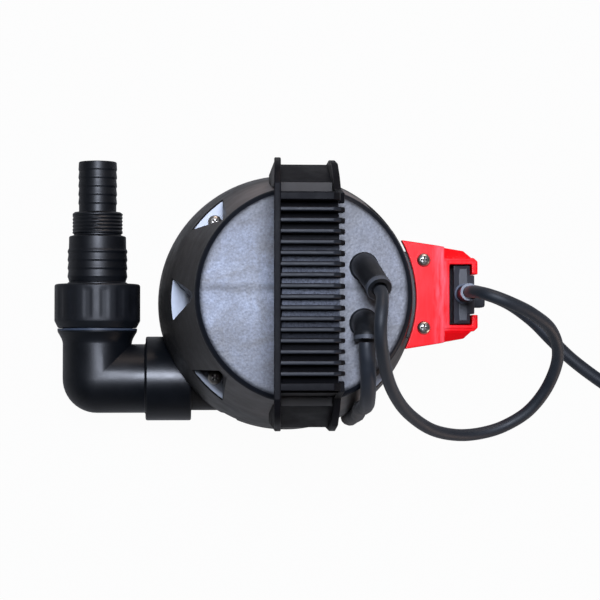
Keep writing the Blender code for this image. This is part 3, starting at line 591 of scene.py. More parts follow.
# Painted light and reflection: a pale warm tint on its upper slope, most by the feet of the handle, high up and towards
# +Y, and least towards the outlet
tree = shell_black.node_tree
shader = tree.nodes["Principled BSDF"]
place = put(tree, "ShaderNodeTexCoord").outputs["Object"]
spot = put(tree, "ShaderNodeSeparateXYZ", None, {0: place})
dust_and_painted_light = put(tree, "ShaderNodeTexNoise", {"Scale": 1000 / 7.0, "Detail": 5.0, "Roughness": 0.65}, {"Vector": place})
dust_and_painted_light = put(tree, "ShaderNodeMapRange", {"From Min": 0.3, "From Max": 0.7, "To Min": 0.85, "To Max": 1.1},
           {"Value": dust_and_painted_light.outputs["Fac"]})
for axis, low, high, least, most in (("X", -50, -14, 0.0, 1.0), ("X", 32, 58, 1.0, 0.1), ("Y", -30, 45, 0.3, 0.55),
                                     ("Z", 150, 195, 0.0, 1.0)):
    share = put(tree, "ShaderNodeMapRange", {"From Min": low * MM, "From Max": high * MM, "To Min": least, "To Max": most},
                {"Value": spot.outputs[axis]})
    dust_and_painted_light = put(tree, "ShaderNodeMath", {"operation": "MULTIPLY"}, {0: dust_and_painted_light.outputs[0], 1: share.outputs[0]})
plain = shader.inputs["Base Color"].links[0].from_socket
tint = put(tree, "ShaderNodeMix", {"data_type": "RGBA", 7: linear("#9a8e89")}, {0: dust_and_painted_light.outputs[0], 6: plain})
tree.links.new(tint.outputs[2], shader.inputs["Base Color"])
shell = lathe("motor_shell", [
    (60.2, SHELL_TOP), (SHELL_TOP_R - 0.6, SHELL_TOP), (SHELL_TOP_R, SHELL_TOP - 0.8), (LEDGE_R - 0.3, 153.2),
    (LEDGE_R, 152), (LEDGE_R, LEDGE_Z + 0.3), (SHELL_BORE, LEDGE_Z + 0.3), (SHELL_BORE, 243), (60.2, 243),
], 144)
lug = slab("lug", [(62, 158), (82, 176), (82, 193.7), (62, 193.7)], RAIL_Y - 26, RAIL_Y + 26, "Y")
carve(shell, "UNION", soften(lug, 0.8))
POCKET_ROUND = 4.9
pocket_line = []
for i in range(9):
    swing = math.radians(135 + 90 * i / 8)
    pocket_line.append((POCKET_SCREW_R + POCKET_ROUND * math.cos(swing), POCKET_ROUND * math.sin(swing)))
first, last = pocket_line[0], pocket_line[-1]
pocket_line += [(last[0] + 22, last[1] - 22), (first[0] + 22, first[1] + 22)]
POCKETS = (45, 135, 180, 225, 315)
for place in POCKETS:
    pocket = slab("pocket", pocket_line, LEDGE_Z - 2, SHELL_TOP + 4)
    pocket.data.transform(Matrix.Rotation(math.radians(place), 4, "Z"))
    carve(shell, "DIFFERENCE", pocket)
RAIL_SCREWS = ((75.3, 22.6), (75.3, -17.8))
for x, y in RAIL_SCREWS:
    carve(shell, "DIFFERENCE", lathe("lug_hole", [(0, 196), (2.3, 196), (2.3, 176), (0, 176)], 24, (x, y, 0)))
for side in (-1, 1):
    hole = lathe("leg_hole", [(0, 80), (2.3, 80), (2.3, 61.5), (0, 61.5)], 24, (0, 0, HANDLE_SCREW_Z), (0, side, 0))
    carve(shell, "DIFFERENCE", hole)
dress(shell, shell_black, "pump", "black_plastic", "upper_housing")


# Motor cap
# The lid of the motor: a flat disc with a spark-eroded texture, a plain rolled rim and a spigot that seals in the shell.
# A weld line where the melt met crosses the disc, and two holes take the boots of the cords.
CAP_TOP, CAP_FLAT_R, CAP_R = 255.0, 57.4, 62.2
roll = []
for i in range(9):
    swing = math.radians(90 - 90 * i / 8)
    roll.append((CAP_FLAT_R + (CAP_R - CAP_FLAT_R) * math.cos(swing), CAP_TOP - 4.4 + 4.4 * math.sin(swing)))
cap = lathe("motor_lid", [(0, CAP_TOP)] + roll + [
    (CAP_R, SHELL_TOP + 0.8), (CAP_R - 0.5, SHELL_TOP + 0.3), (58.0, SHELL_TOP + 0.3), (58.0, 234), (54.5, 234),
    (54.5, 251.5), (0, 251.5),
], 144)
BOOTS = ((34, 16), (34, -16))
for x, y in BOOTS:
    carve(cap, "DIFFERENCE", lathe("boot_hole", [(0, 260), (6.2, 260), (6.2, 246), (0, 246)], 40, (x, y, 0)))

# Spark-eroded texture on grey-black ABS: matt pebbles of about 1.5 mm that catch the light, handling smudges with a
# painted sheen, and painted shade towards the rim and towards both ends in Y
WELD_Y = 4.0
cap_texture = bpy.data.materials.new("spark_textured_abs")
cap_texture.use_nodes = True
tree = cap_texture.node_tree
shader = tree.nodes["Principled BSDF"]
shader.inputs["IOR"].default_value = 1.53
place = put(tree, "ShaderNodeTexCoord").outputs["Object"]
marks = put(tree, "ShaderNodeTexNoise", {"Scale": 1000 / 38.0, "Detail": 6.0, "Roughness": 0.62}, {"Vector": place})
pebbles = put(tree, "ShaderNodeTexVoronoi", {"feature": "SMOOTH_F1", "Scale": 1000 / 1.7, "Smoothness": 0.6},
              {"Vector": place})
grit = put(tree, "ShaderNodeTexNoise", {"Scale": 1000 / 1.2, "Detail": 3.0}, {"Vector": place})
spread = put(tree, "ShaderNodeMapRange", {"From Min": 0.32, "From Max": 0.7}, {"Value": marks.outputs["Fac"]})
tint = put(tree, "ShaderNodeMix", {"data_type": "RGBA", 6: linear("#4e4f53"), 7: linear("#737479")},
           {0: spread.outputs[0]})
# Handling smudges and a painted sheen in pale blue-grey, strongest round a spot left of the middle
smear = put(tree, "ShaderNodeTexNoise", {"Scale": 1000 / 24.0, "Detail": 7.0, "Roughness": 0.68, "Distortion": 0.6},
            {"Vector": place})
smudge_and_sheen = put(tree, "ShaderNodeMapRange", {"From Min": 0.36, "From Max": 0.66, "To Min": 0.0, "To Max": 0.9},
            {"Value": smear.outputs["Fac"]})
from_sheen_and_smudges = put(tree, "ShaderNodeVectorMath", {"operation": "DISTANCE", 1: (-0.034, 0.006, CAP_TOP * MM)}, {0: place})
from_sheen_and_smudges = put(tree, "ShaderNodeMapRange", {"From Min": 0.018, "From Max": 0.05, "To Min": 1.0, "To Max": 0.3},
                {"Value": from_sheen_and_smudges.outputs["Value"]})
smudge_and_sheen = put(tree, "ShaderNodeMath", {"operation": "MULTIPLY"}, {0: smudge_and_sheen.outputs[0], 1: from_sheen_and_smudges.outputs[0]})
tint = put(tree, "ShaderNodeMix", {"data_type": "RGBA", 7: linear("#949eb2")}, {0: smudge_and_sheen.outputs[0], 6: tint.outputs[2]})
flat_y = put(tree, "ShaderNodeSeparateXYZ", None, {0: place})
off_weld = put(tree, "ShaderNodeMath", {"operation": "SUBTRACT", 1: WELD_Y * MM}, {0: flat_y.outputs["Y"]})
off_weld = put(tree, "ShaderNodeMath", {"operation": "ABSOLUTE"}, {0: off_weld.outputs[0]})
weld = put(tree, "ShaderNodeMapRange", {"From Min": 0.0, "From Max": 3.5 * MM, "To Min": 0.7, "To Max": 0.0},
           {"Value": off_weld.outputs[0]})
tint = put(tree, "ShaderNodeMix", {"data_type": "RGBA", 7: linear("#3c3e45")},
           {0: weld.outputs[0], 6: tint.outputs[2]})
# Painted shade darkens the disc towards its rim
from_middle = put(tree, "ShaderNodeVectorMath", {"operation": "DISTANCE", 1: (0, 0, CAP_TOP * MM)}, {0: place})
rim_painted_shade = put(tree, "ShaderNodeMapRange", {"From Min": 56.0 * MM, "From Max": 59.2 * MM, "To Min": 0.0, "To Max": 0.9},
               {"Value": from_middle.outputs["Value"]})
tint = put(tree, "ShaderNodeMix", {"data_type": "RGBA", 7: linear("#14161b")},
           {0: rim_painted_shade.outputs[0], 6: tint.outputs[2]})
# Painted shade darkens the disc towards both ends in Y, through the grit's specks
off_middle = put(tree, "ShaderNodeMath", {"operation": "ABSOLUTE"}, {0: flat_y.outputs["Y"]})
painted_shade_off_middle = put(tree, "ShaderNodeMapRange", {"From Min": 16 * MM, "From Max": 52 * MM, "To Min": 1.0, "To Max": 0.7},
               {"Value": off_middle.outputs[0]})
speck = put(tree, "ShaderNodeMapRange", {"From Min": 0.35, "From Max": 0.75, "To Min": 0.7, "To Max": 1.3},
            {"Value": grit.outputs["Fac"]})
speck = put(tree, "ShaderNodeMath", {"operation": "MULTIPLY"}, {0: speck.outputs[0], 1: painted_shade_off_middle.outputs[0]})
tint = put(tree, "ShaderNodeVectorMath", {"operation": "SCALE"}, {0: tint.outputs[2], "Scale": speck.outputs[0]})
rough = put(tree, "ShaderNodeMapRange", {"From Min": 0.3, "From Max": 0.7, "To Min": 0.42, "To Max": 0.58},
            {"Value": marks.outputs["Fac"]})
relief = put(tree, "ShaderNodeMath", {"operation": "MULTIPLY_ADD", 1: 0.6},
             {0: grit.outputs["Fac"], 2: pebbles.outputs["Distance"]})
skin = put(tree, "ShaderNodeBump", {"Strength": 1.0, "Distance": 0.12 * MM}, {"Height": relief.outputs[0]})
tree.links.new(tint.outputs[0], shader.inputs["Base Color"])
tree.links.new(rough.outputs[0], shader.inputs["Roughness"])
tree.links.new(skin.outputs[0], shader.inputs["Normal"])
dress(cap, cap_texture, "pump", "textured_plastic", "motor_cap")
rim_black = moulded("rim_abs", "#0e1014", "#181b21", (0.32, 0.42), 2.0, 0.01, shine=0.12)
cap.data.materials.append(rim_black)
for face in cap.data.polygons:
    if face.center.xy.length > (CAP_FLAT_R + 1.9) * MM or face.normal.z < 0.5:
        face.material_index = 1


# Cord boots
# Two strain reliefs of soft black rubber, each with a foot ring on the cap. The sensor's leans over and ends in a wide
# open collar, and the mains lead's bends down towards the edge of the cap.
def curved(points, per_span):
    """Points along a smooth curve through the given ones."""
    spots = [Vector(p) for p in points]
    spots = [2 * spots[0] - spots[1]] + spots + [2 * spots[-1] - spots[-2]]
    line = []
    for a, b, c, d in zip(spots, spots[1:], spots[2:], spots[3:]):
        for i in range(per_span):
            t = i / per_span
            line.append(0.5 * (2 * b + (c - a) * t + (2 * a - 5 * b + 4 * c - d) * t ** 2
                               + (3 * b - a - 3 * c + d) * t ** 3))
    line.append(spots[-2])
    return line


def swept(name, line, radii, sides=32):
    """A round bar along a line of points, with a radius at each point."""
    ahead = [(b - a).normalized() for a, b in zip(line, line[1:])]
    ahead = [ahead[0]] + [(a + b).normalized() for a, b in zip(ahead, ahead[1:])] + [ahead[-1]]
    side = ahead[0].orthogonal().normalized()
    rings = []
    for spot, way, radius in zip(line, ahead, radii):
        side = (side - way * side.dot(way)).normalized()
        other = way.cross(side)
        ring = []
        for i in range(sides):
            swing = 2 * math.pi * i / sides
            ring.append(spot + (side * math.cos(swing) + other * math.sin(swing)) * radius)
        rings.append(ring)
    return loft(name, rings, capped=True)


boot_rubber = moulded("boot_rubber", "#0e0f11", "#1a1c1f", (0.38, 0.52), 1.0, 0.03, 6.0, 0.35)
lean = curved([(34, 16, 255.3), (34.05, 15.8, 260), (34.4, 14.4, 266), (35.4, 11.6, 273), (36.9, 8, 280),
               (38.2, 4.4, 286.5), (39, 2, 290)], 6)
swell = []
for i in range(len(lean)):
    t = i / (len(lean) - 1)
    foot_ring = 1.1 * max(0.0, 1 - t / 0.06)
    collar = 0.55 * min(1.0, max(0.0, (t - 0.84) / 0.03))
    swell.append(7.5 - 0.75 * t + foot_ring + collar)
sensor_boot = swept("sensor_boot_sleeve", lean, swell, 40)
ahead = (lean[-1] - lean[-2]).normalized()
socket = lathe("socket", [(0, 4), (4.6, 4), (4.1, -6), (0, -6)], 32, lean[-1], ahead)
carve(sensor_boot, "DIFFERENCE", socket)
stem = lathe("stem", [(0, 256), (5.9, 256), (5.9, 248), (0, 248)], 32, (34, 16, 0))
carve(sensor_boot, "UNION", stem)
soften(sensor_boot, 0.45)
dress(sensor_boot, boot_rubber, "pump", "rubber", "sensor_boot")
# A grey painted highlight on the lips of the collars
collar_painted_highlight = moulded("collar_painted_highlight", "#33363b", "#4b4f56", (0.42, 0.56), 1.0, 0.03, 6.0, 0.35)


def paint_collar_highlight(boot, mouth, way, depth):
    """Paints a grey highlight on a boot's collar, from its mouth down to a depth."""
    boot.data.materials.append(collar_painted_highlight)
    for face in boot.data.polygons:
        spot = face.center / MM - mouth
        if spot.dot(way) > -depth and (spot - way * spot.dot(way)).length > 4.9:
            face.material_index = 1


paint_collar_highlight(sensor_boot, lean[-1], ahead, 2.4)

bent = curved([(34, -16, 255.3), (33.95, -16.15, 259.5), (33.9, -16.6, 264), (33.8, -17.8, 268.5), (33.7, -20.2, 272.3),
               (33.5, -23, 274.4), (33.4, -26, 275)], 6)
swell = []
for i in range(len(bent)):
    t = i / (len(bent) - 1)
    foot_ring = 0.9 * max(0.0, 1 - t / 0.08)
    collar = 0.45 * min(1.0, max(0.0, (t - 0.8) / 0.04))
    swell.append(7.6 - 0.7 * t + foot_ring + collar)
power_boot = swept("power_boot_sleeve", bent, swell, 40)
stem = lathe("stem", [(0, 256), (5.9, 256), (5.9, 248), (0, 248)], 32, (34, -16, 0))
carve(power_boot, "UNION", stem)
soften(power_boot, 0.45)
dress(power_boot, boot_rubber, "pump", "rubber", "power_boot")
paint_collar_highlight(power_boot, bent[-1], (bent[-1] - bent[-2]).normalized(), 2.4)


# Carrying handle
# One moulding of glass-filled polyamide: a tall plate on the left, a ribbed grip that a hand closes round, low plates on
# the right, and two boxed legs that are screwed to the shell.
GRIP_TOP = 320.0
LEG_FOOT = 185.0
LEFT_PLATE = (-20.7, -17.0)
GRIP_LEAN, LEAN_FOOT = 4.3, 244.0
RIGHT_PLATE = (14.6, 18.6)
RIB_COUNT, RIB_PITCH = 16, 5.88
END_BAR = (49.0, 53.1)


def mirrored(points):
    """The same outline run backwards on the other side of the middle."""
    return [(-y, z) for y, z in reversed(points)]


def row_tree():
    """Geometry nodes that set copies of a piece in a row along Y, centred on it."""
    group = bpy.data.node_groups.new("set_in_a_row", "GeometryNodeTree")
    face = group.interface
    face.new_socket("Piece", in_out="INPUT", socket_type="NodeSocketGeometry")
    face.new_socket("Count", in_out="INPUT", socket_type="NodeSocketInt")
    face.new_socket("Pitch", in_out="INPUT", socket_type="NodeSocketFloat")
    face.new_socket("Finish", in_out="INPUT", socket_type="NodeSocketMaterial")
    face.new_socket("Pieces", in_out="OUTPUT", socket_type="NodeSocketGeometry")
    given = put(group, "NodeGroupInput")
    step = put(group, "ShaderNodeCombineXYZ", None, {"Y": given.outputs["Pitch"]})
    gaps = put(group, "ShaderNodeMath", {"operation": "SUBTRACT", 1: 1.0}, {0: given.outputs["Count"]})
    span = put(group, "ShaderNodeMath", {"operation": "MULTIPLY"}, {0: gaps.outputs[0], 1: given.outputs["Pitch"]})
    half = put(group, "ShaderNodeMath", {"operation": "MULTIPLY", 1: -0.5}, {0: span.outputs[0]})
    start = put(group, "ShaderNodeCombineXYZ", None, {"Y": half.outputs[0]})
    places = put(group, "GeometryNodeMeshLine", None, {"Count": given.outputs["Count"],
                 "Start Location": start.outputs[0], "Offset": step.outputs[0]})
    copies = put(group, "GeometryNodeInstanceOnPoints", None,
                 {"Points": places.outputs[0], "Instance": given.outputs["Piece"]})
    solid = put(group, "GeometryNodeRealizeInstances", None, {"Geometry": copies.outputs[0]})
    bare = put(group, "FunctionNodeCompare", {"data_type": "INT", "operation": "EQUAL"},
               {2: put(group, "GeometryNodeInputMaterialIndex").outputs[0]})
    dressed = put(group, "GeometryNodeSetMaterial", None,
                  {"Geometry": solid.outputs[0], "Selection": bare.outputs[0], "Material": given.outputs["Finish"]})
    put(group, "NodeGroupOutput", None, {"Pieces": dressed.outputs[0]})
    return group


# Glass-filled polyamide: nearly black, with dry matt faces, and dust where the grip's hollow lies open to it
handle_black = moulded("handle_polyamide", "#0a0a0c", "#131316", (0.4, 0.55), 1.2, 0.03, 10.0, 0.05)
tree = handle_black.node_tree
shader = tree.nodes["Principled BSDF"]
place = put(tree, "ShaderNodeTexCoord").outputs["Object"]
spot = put(tree, "ShaderNodeSeparateXYZ", None, {0: place})
facing = put(tree, "ShaderNodeSeparateXYZ", None, {0: put(tree, "ShaderNodeNewGeometry").outputs["Normal"]})
off_middle = put(tree, "ShaderNodeMath", {"operation": "ABSOLUTE"}, {0: spot.outputs["Y"]})
open_share = put(tree, "ShaderNodeMapRange", {"From Min": 6 * MM, "From Max": 28 * MM, "To Min": 0.7, "To Max": 0.0},
                 {"Value": off_middle.outputs[0]})
hollow = put(tree, "ShaderNodeMath", {"operation": "COMPARE", 1: 308.5 * MM, 2: 4.6 * MM}, {0: spot.outputs["Z"]})
level = put(tree, "ShaderNodeMath", {"operation": "GREATER_THAN", 1: 0.8}, {0: facing.outputs["Z"]})
dust_and_painted_light = put(tree, "ShaderNodeTexNoise", {"Scale": 1000 / 1.3, "Detail": 4.0, "Roughness": 0.7}, {"Vector": place})
dust_and_painted_light = put(tree, "ShaderNodeMapRange", {"From Min": 0.2, "From Max": 0.8}, {"Value": dust_and_painted_light.outputs["Fac"]})
for share in (open_share, hollow, level):
    dust_and_painted_light = put(tree, "ShaderNodeMath", {"operation": "MULTIPLY"}, {0: dust_and_painted_light.outputs[0], 1: share.outputs[0]})
plain = shader.inputs["Base Color"].links[0].from_socket
tint = put(tree, "ShaderNodeMix", {"data_type": "RGBA", 7: linear("#7b808d")}, {0: dust_and_painted_light.outputs[0], 6: plain})
# Painted light: the level shelf at Z = 270 mm is tinted lighter where the overhead light falls on it
painted_light_shelf = put(tree, "ShaderNodeMath", {"operation": "COMPARE", 1: 270 * MM, 2: 1.5 * MM}, {0: spot.outputs["Z"]})
painted_light_shelf = put(tree, "ShaderNodeMath", {"operation": "MULTIPLY"}, {0: painted_light_shelf.outputs[0], 1: level.outputs[0]})
tint = put(tree, "ShaderNodeMix", {"data_type": "RGBA", 7: linear("#3f3d3b")}, {0: painted_light_shelf.outputs[0], 6: tint.outputs[2]})
# Painted light: faces that look towards -X low on the +Y end of the tall plate are tinted pale grey as if lit
painted_light_flank = put(tree, "ShaderNodeMapRange", {"From Min": -0.3, "From Max": -0.8}, {"Value": facing.outputs["X"]})
for axis, low, high in (("Y", 60, 66), ("Z", 205, 235)):
    share = put(tree, "ShaderNodeMapRange", {"From Min": low * MM, "From Max": high * MM}, {"Value": spot.outputs[axis]})
    painted_light_flank = put(tree, "ShaderNodeMath", {"operation": "MULTIPLY"}, {0: painted_light_flank.outputs[0], 1: share.outputs[0]})
tint = put(tree, "ShaderNodeMix", {"data_type": "RGBA", 7: linear("#6b6865")}, {0: painted_light_flank.outputs[0], 6: tint.outputs[2]})
tree.links.new(tint.outputs[2], shader.inputs["Base Color"])

# The crests of the ribs are painted greyer as a highlight, with a dull gloss
rib_crest_painted_highlight = moulded("rib_crest_highlight_polyamide", "#17191d", "#282b31", (0.38, 0.5), 1.2, 0.02, 5.0, 0.15)
set_in_row = row_tree()
arch = curved([(77.5, LEAN_FOOT), (76.6, 266), (74.6, 286), (71, 304), (66, 314), (58, GRIP_TOP)], 4)
under = [(47, 301), (49, 288), (54, 272), (62.9, 261), (62.9, LEAN_FOOT)]
edge = arch + mirrored(arch) + mirrored(under) + under
handle = soften(slab("handle", edge, LEFT_PLATE[0], LEFT_PLATE[1], "X"), 0.7)
lean = Matrix.Identity(4)
lean[0][2] = -GRIP_LEAN / (GRIP_TOP - LEAN_FOOT)
lean[0][3] = -lean[0][2] * GRIP_TOP * MM
handle.data.transform(lean)
for finish in (handle_black, rib_crest_painted_highlight):
    handle.data.materials.append(finish)
leg_left = LEFT_PLATE[0] + GRIP_LEAN
web = [(0, 312.5), (18, 311.6), (35, 308.9), (50, 304.6), (54.6, 304.6), (57.3, 270), (62.6, 270), (75.5, 238)]
web += [(73.6, LEG_FOOT), (62.9, LEG_FOOT), (62.9, 261), (54, 272), (49, 288), (47, 301)]
web = soften(slab("web", web + mirrored(web[1:]), leg_left + 0.2, RIGHT_PLATE[0] + 0.5, "X"), 0.4)
carve(handle, "UNION", web)
low_plate = [(74.6, LEG_FOOT), (77.5, 244), (74, 262), (66, 274), (58, 282), (54, 304)]
low_plate += [(48.2, 302), (49.6, 288), (54.4, 272.4), (63.3, 261.4), (63.3, LEG_FOOT)]
leg = [(63.3, LEG_FOOT), (74.6, LEG_FOOT), (77.4, LEAN_FOOT + 0.4), (63.3, LEAN_FOOT + 0.4)]
for side in (-1, 1):
    right = slab("right_plate", [(y * side, z) for y, z in low_plate], RIGHT_PLATE[0], RIGHT_PLATE[1], "X")
    carve(handle, "UNION", soften(right, 0.6))
    left = slab("left_leg", [(y * side, z) for y, z in leg], leg_left, LEFT_PLATE[1] + GRIP_LEAN - 0.1, "X")
    carve(handle, "UNION", soften(left, 0.6))
section = [(LEFT_PLATE[1] - 1, 303.35), (LEFT_PLATE[1] - 1, 319.4), (11.7, 319.4), (15.4, 317), (18.0, 312.5), (18.6, 306),
           (17.6, 303.35)]
rib = soften(slab("rib", section, -1.3, 1.3, "Y"), 0.8, 3)
for finish in (handle_black, rib_crest_painted_highlight):
    rib.data.materials.append(finish)
# Upward faces of the rib take the crest's painted highlight
for face in rib.data.polygons:
    if face.normal.z > 0.8:
        face.material_index = 1
ribs = repeat(rib, set_in_row, Count=RIB_COUNT, Pitch=RIB_PITCH * MM, Finish=handle_black)
blunt = section[:3] + [(14.4, 316.4), (15.8, 311), (15.8, 303.35)]
bar = soften(slab("end_bar", blunt, -(END_BAR[1] - END_BAR[0]) / 2, (END_BAR[1] - END_BAR[0]) / 2, "Y"), 0.5)
bars = repeat(bar, set_in_row, Count=2, Pitch=sum(END_BAR) * MM, Finish=handle_black)
carve(handle, "UNION", ribs, bars)
clearance = lathe("clearance", [
    (0, SHELL_TOP), (SHELL_TOP_R + 0.5, SHELL_TOP), (LEDGE_R + 0.5, 152), (LEDGE_R + 0.5, 140), (0, 140),
], 144)
carve(handle, "DIFFERENCE", clearance)
for side in (-1, 1):
    seat = [(0, 90), (5.2, 90), (5.2, 71.8), (2.4, 71.8), (2.4, 60), (0, 60)]
    carve(handle, "DIFFERENCE", lathe("leg_seat", seat, 40, (0, 0, HANDLE_SCREW_Z), (0, side, 0)))
dress(mend(handle), None, "pump", "black_plastic", "carry_handle")


# Outlet elbow
# A moulded polypropylene elbow: a socket that swivels on the stub, a pipe with a mitred inner corner and a round outer
# one, and a threaded mouth under the union nut.
NOZZLE_X = -123.2
PIPE_R = 22.7
corner = Vector((NOZZLE_X, OUTLET_Y, OUTLET_Z))
pipe_black = moulded("pipe_polypropylene", "#06080b", "#0c0f14", (0.34, 0.42), 1.4, 0.02, shine=0.36)
# The socket is rubbed to a better shine than the pipe, which has gone dull with water
tree = pipe_black.node_tree
shader = tree.nodes["Principled BSDF"]
spot = put(tree, "ShaderNodeSeparateXYZ", None, {0: put(tree, "ShaderNodeTexCoord").outputs["Object"]})
dulled = put(tree, "ShaderNodeMapRange", {"From Min": (NOZZLE_X - 2) * MM, "From Max": (NOZZLE_X + 38) * MM,
                                          "To Min": 1.13, "To Max": 0.84}, {"Value": spot.outputs["X"]})
plain = shader.inputs["Roughness"].links[0].from_socket
rough = put(tree, "ShaderNodeMath", {"operation": "MULTIPLY"}, {0: plain, 1: dulled.outputs[0]})
tree.links.new(rough.outputs[0], shader.inputs["Roughness"])


def elbow_rings(radius, socket, mouth, sides=72):
    """Rings from the socket round the corner to the mouth. Each end is a list of (radius, reach from the corner)."""
    rings = []
    swings = [2 * math.pi * i / sides for i in range(sides)]
    for r, reach in socket:
        rings.append([corner + Vector((reach, r * math.cos(s), r * math.sin(s))) for s in swings])
    for k in range(13):
        turn = math.radians(90 * k / 12)
        ring = []
        for s in swings:
            lift, out = radius * math.sin(s), radius * math.cos(s)
            if out >= 0:
                ring.append(corner + Vector((out, out, lift)))
            else:
                ring.append(corner + Vector((out * math.sin(turn), out * math.cos(turn), lift)))
        rings.append(ring)
    for r, reach in mouth:
        rings.append([corner + Vector((r * math.cos(s), reach, r * math.sin(s))) for s in swings])
    return rings


outer_socket = [(26.9, 61.8), (27.5, 61.4), (27.7, 60.6), (27.7, 32.9), (27.2, 32.1), (26.2, 31.9), (PIPE_R + 0.8, 31.9),
                (PIPE_R, 31.2), (PIPE_R, PIPE_R + 2)]
outer_mouth = [(PIPE_R, PIPE_R + 0.2), (22.9, 24.4), (23.6, 26.4), (24.8, 28.6), (26.0, 30.6), (26.2, 31.6), (26.2, 32.9),
               (21, 33.1), (21, 52.3), (20.3, 53.1)]
inner_mouth = [(WATERWAY_R + 0.4, 53.1), (WATERWAY_R, 51), (WATERWAY_R, WATERWAY_R + 2)]
inner_socket = [(WATERWAY_R, WATERWAY_R + 2), (WATERWAY_R, 31.8), (21.7, 31.8), (21.7, 61.0), (22.4, 61.8)]
outside = elbow_rings(PIPE_R, outer_socket, outer_mouth)
inside = elbow_rings(WATERWAY_R, list(reversed(inner_socket)), list(reversed(inner_mouth)))
elbow = loft("outlet_elbow_pipe", outside + list(reversed(inside)), closed=True)
settle(elbow, 12)
dress(elbow, pipe_black, "elbow", "black_plastic", "outlet_elbow")
# A painted highlight: the flange's edge below the nut is a thin blue-grey line
flange_painted_highlight = moulded("flange_highlight_polypropylene", "#2b3340", "#434d5d", (0.4, 0.5), 1.4, 0.02, 6.0, 0.3)
elbow.data.materials.append(flange_painted_highlight)
for face in elbow.data.polygons:
    spot = face.center / MM - corner
    if spot.y > 31.6 and math.hypot(spot.x, spot.z) > 23.0:
        face.material_index = 1


# Union nut
# The fluted collar that draws the hose tail on to the elbow: sixteen shallow flutes for the hand, a domed shoulder and
# a chamfer below.
NUT_R = 28.2
FLUTES = 16
nozzle = (NOZZLE_X, 0, OUTLET_Z)
forward = (0, 1, 0)


def flute(swing, height, radius):
    """How far the flutes draw the nut's wall in, between its shoulder and its chamfer."""
    if radius < NUT_R - 0.25:
        return 0.0
    part = (swing * FLUTES / (2 * math.pi)) % 1.0
    near = min(1.0, max(0.0, (0.66 - abs(part - 0.5) * 2) / 0.46))
    fade = min(1.0, max(0.0, (height + 10.9) / 2.2), max(0.0, (10.4 - height) / 2.2))
    return -0.42 * near * near * (3 - 2 * near) * fade


shoulder = []
for i in range(7):
    swing = math.radians(90 - 90 * i / 6)
    shoulder.append((NUT_R - 1.6 + 1.6 * math.cos(swing), 11.0 + 1.6 * math.sin(swing)))
wall = [(NUT_R, 11.0 - 22.6 * i / 16) for i in range(1, 17)]
# The nut and the tail came off a duller mould: blue-black satin with a broad, soft shine
satin_black = moulded("satin_polypropylene", "#07090d", "#0e1218", (0.46, 0.56), 1.6, 0.02, shine=0.4)
nut = lathe("union_collar", [(20.2, 12.6)] + shoulder + wall + [
    (NUT_R - 0.3, -12.3), (26.0, -15.9), (25.5, -16.35), (21.6, -16.35), (21.4, -16.1), (21.4, 8.5), (20.2, 8.5),
], 192, nozzle, forward, flute)
settle(nut, 40)
dress(nut, satin_black, "nut", "black_plastic", "union_nut")


# Hose tail
# A stepped tail for two hoses: a barb for 25 mm hose, a one-inch pipe thread, and a barb for 38 mm hose over a collar
# that the nut holds. Whoever fits a wide hose saws the thin end off.
THREAD_PITCH = 2.31


def thread(swing, height, radius):
    """The helix of the pipe thread."""
    if not 46.5 < height < 59.0 or radius < 16.0:
        return 0.0
    part = (height / THREAD_PITCH - swing / (2 * math.pi)) % 1.0
    fade = min(1.0, (height - 46.5) / 1.2, (59.0 - height) / 1.2)
    return -0.55 * abs(part - 0.5) * 2 * fade


tail_line = [(9.6, 92.9), (10.0, 93.5), (12.1, 93.5), (12.5, 93.1)]
for i in range(5):
    crest = 88.8 - 5.6 * i
    tail_line += [(12.68, crest + 0.7), (12.75, crest), (12.7, crest - 0.5), (12.45, crest - 1.1), (12.3, crest - 1.7)]
tail_line += [(12.3, 61.0), (12.4, 60.4), (15.3, 60.1), (16.4, 59.2)]
tail_line += [(16.6, 59 - 12.5 * i / 48) for i in range(49)]
tail_line += [(16.3, 46.1), (15.6, 45.7), (15.6, 45.0), (18.3, 44.2), (18.75, 43.7), (18.9, 36.2)]
for i in range(4):
    top = 34.1 - 5.45 * i
    tail_line += [(19.6, top + 0.7), (19.7, top), (19.63, top - 0.5), (19.35, top - 1.1), (19.15, top - 1.8)]
tail_line += [(18.6, 14.2), (19.7, 13.4), (19.7, 8.2), (20.9, 8.2), (20.9, 5.8), (14.5, 5.8), (14.5, 40), (9.6, 46)]
tail = lathe("stepped_hose_tail", tail_line, 96, nozzle, forward, thread)
settle(tail, 40)
tail_black = moulded("tail_polypropylene", "#05070a", "#0b0e13", (0.4, 0.48), 1.6, 0.02, shine=0.4)
dress(tail, tail_black, "tail", "black_plastic", "hose_tail")


# Sensor rail
# A glossy red ABS moulding that is screwed to the shell's lug: a plate with a hollow back edge, two sloping shoulders and
# a C channel with an end stop, in which the level sensor slides.
RAIL_TOP, RAIL_FOOT = 200.0, 66.0


def around(points):
    """Moves an outline from the rail's own middle line to its place."""
    return [(x, RAIL_Y + y) for x, y in points]


# Injection-moulded ABS off a mirror mould: saturated red, high gloss, with slight sink waves
rail_red = moulded("glossy_red_abs", "#e4060f", "#f5121c", (0.2, 0.3), 9.0, 0.05, 22.0, 0.1)
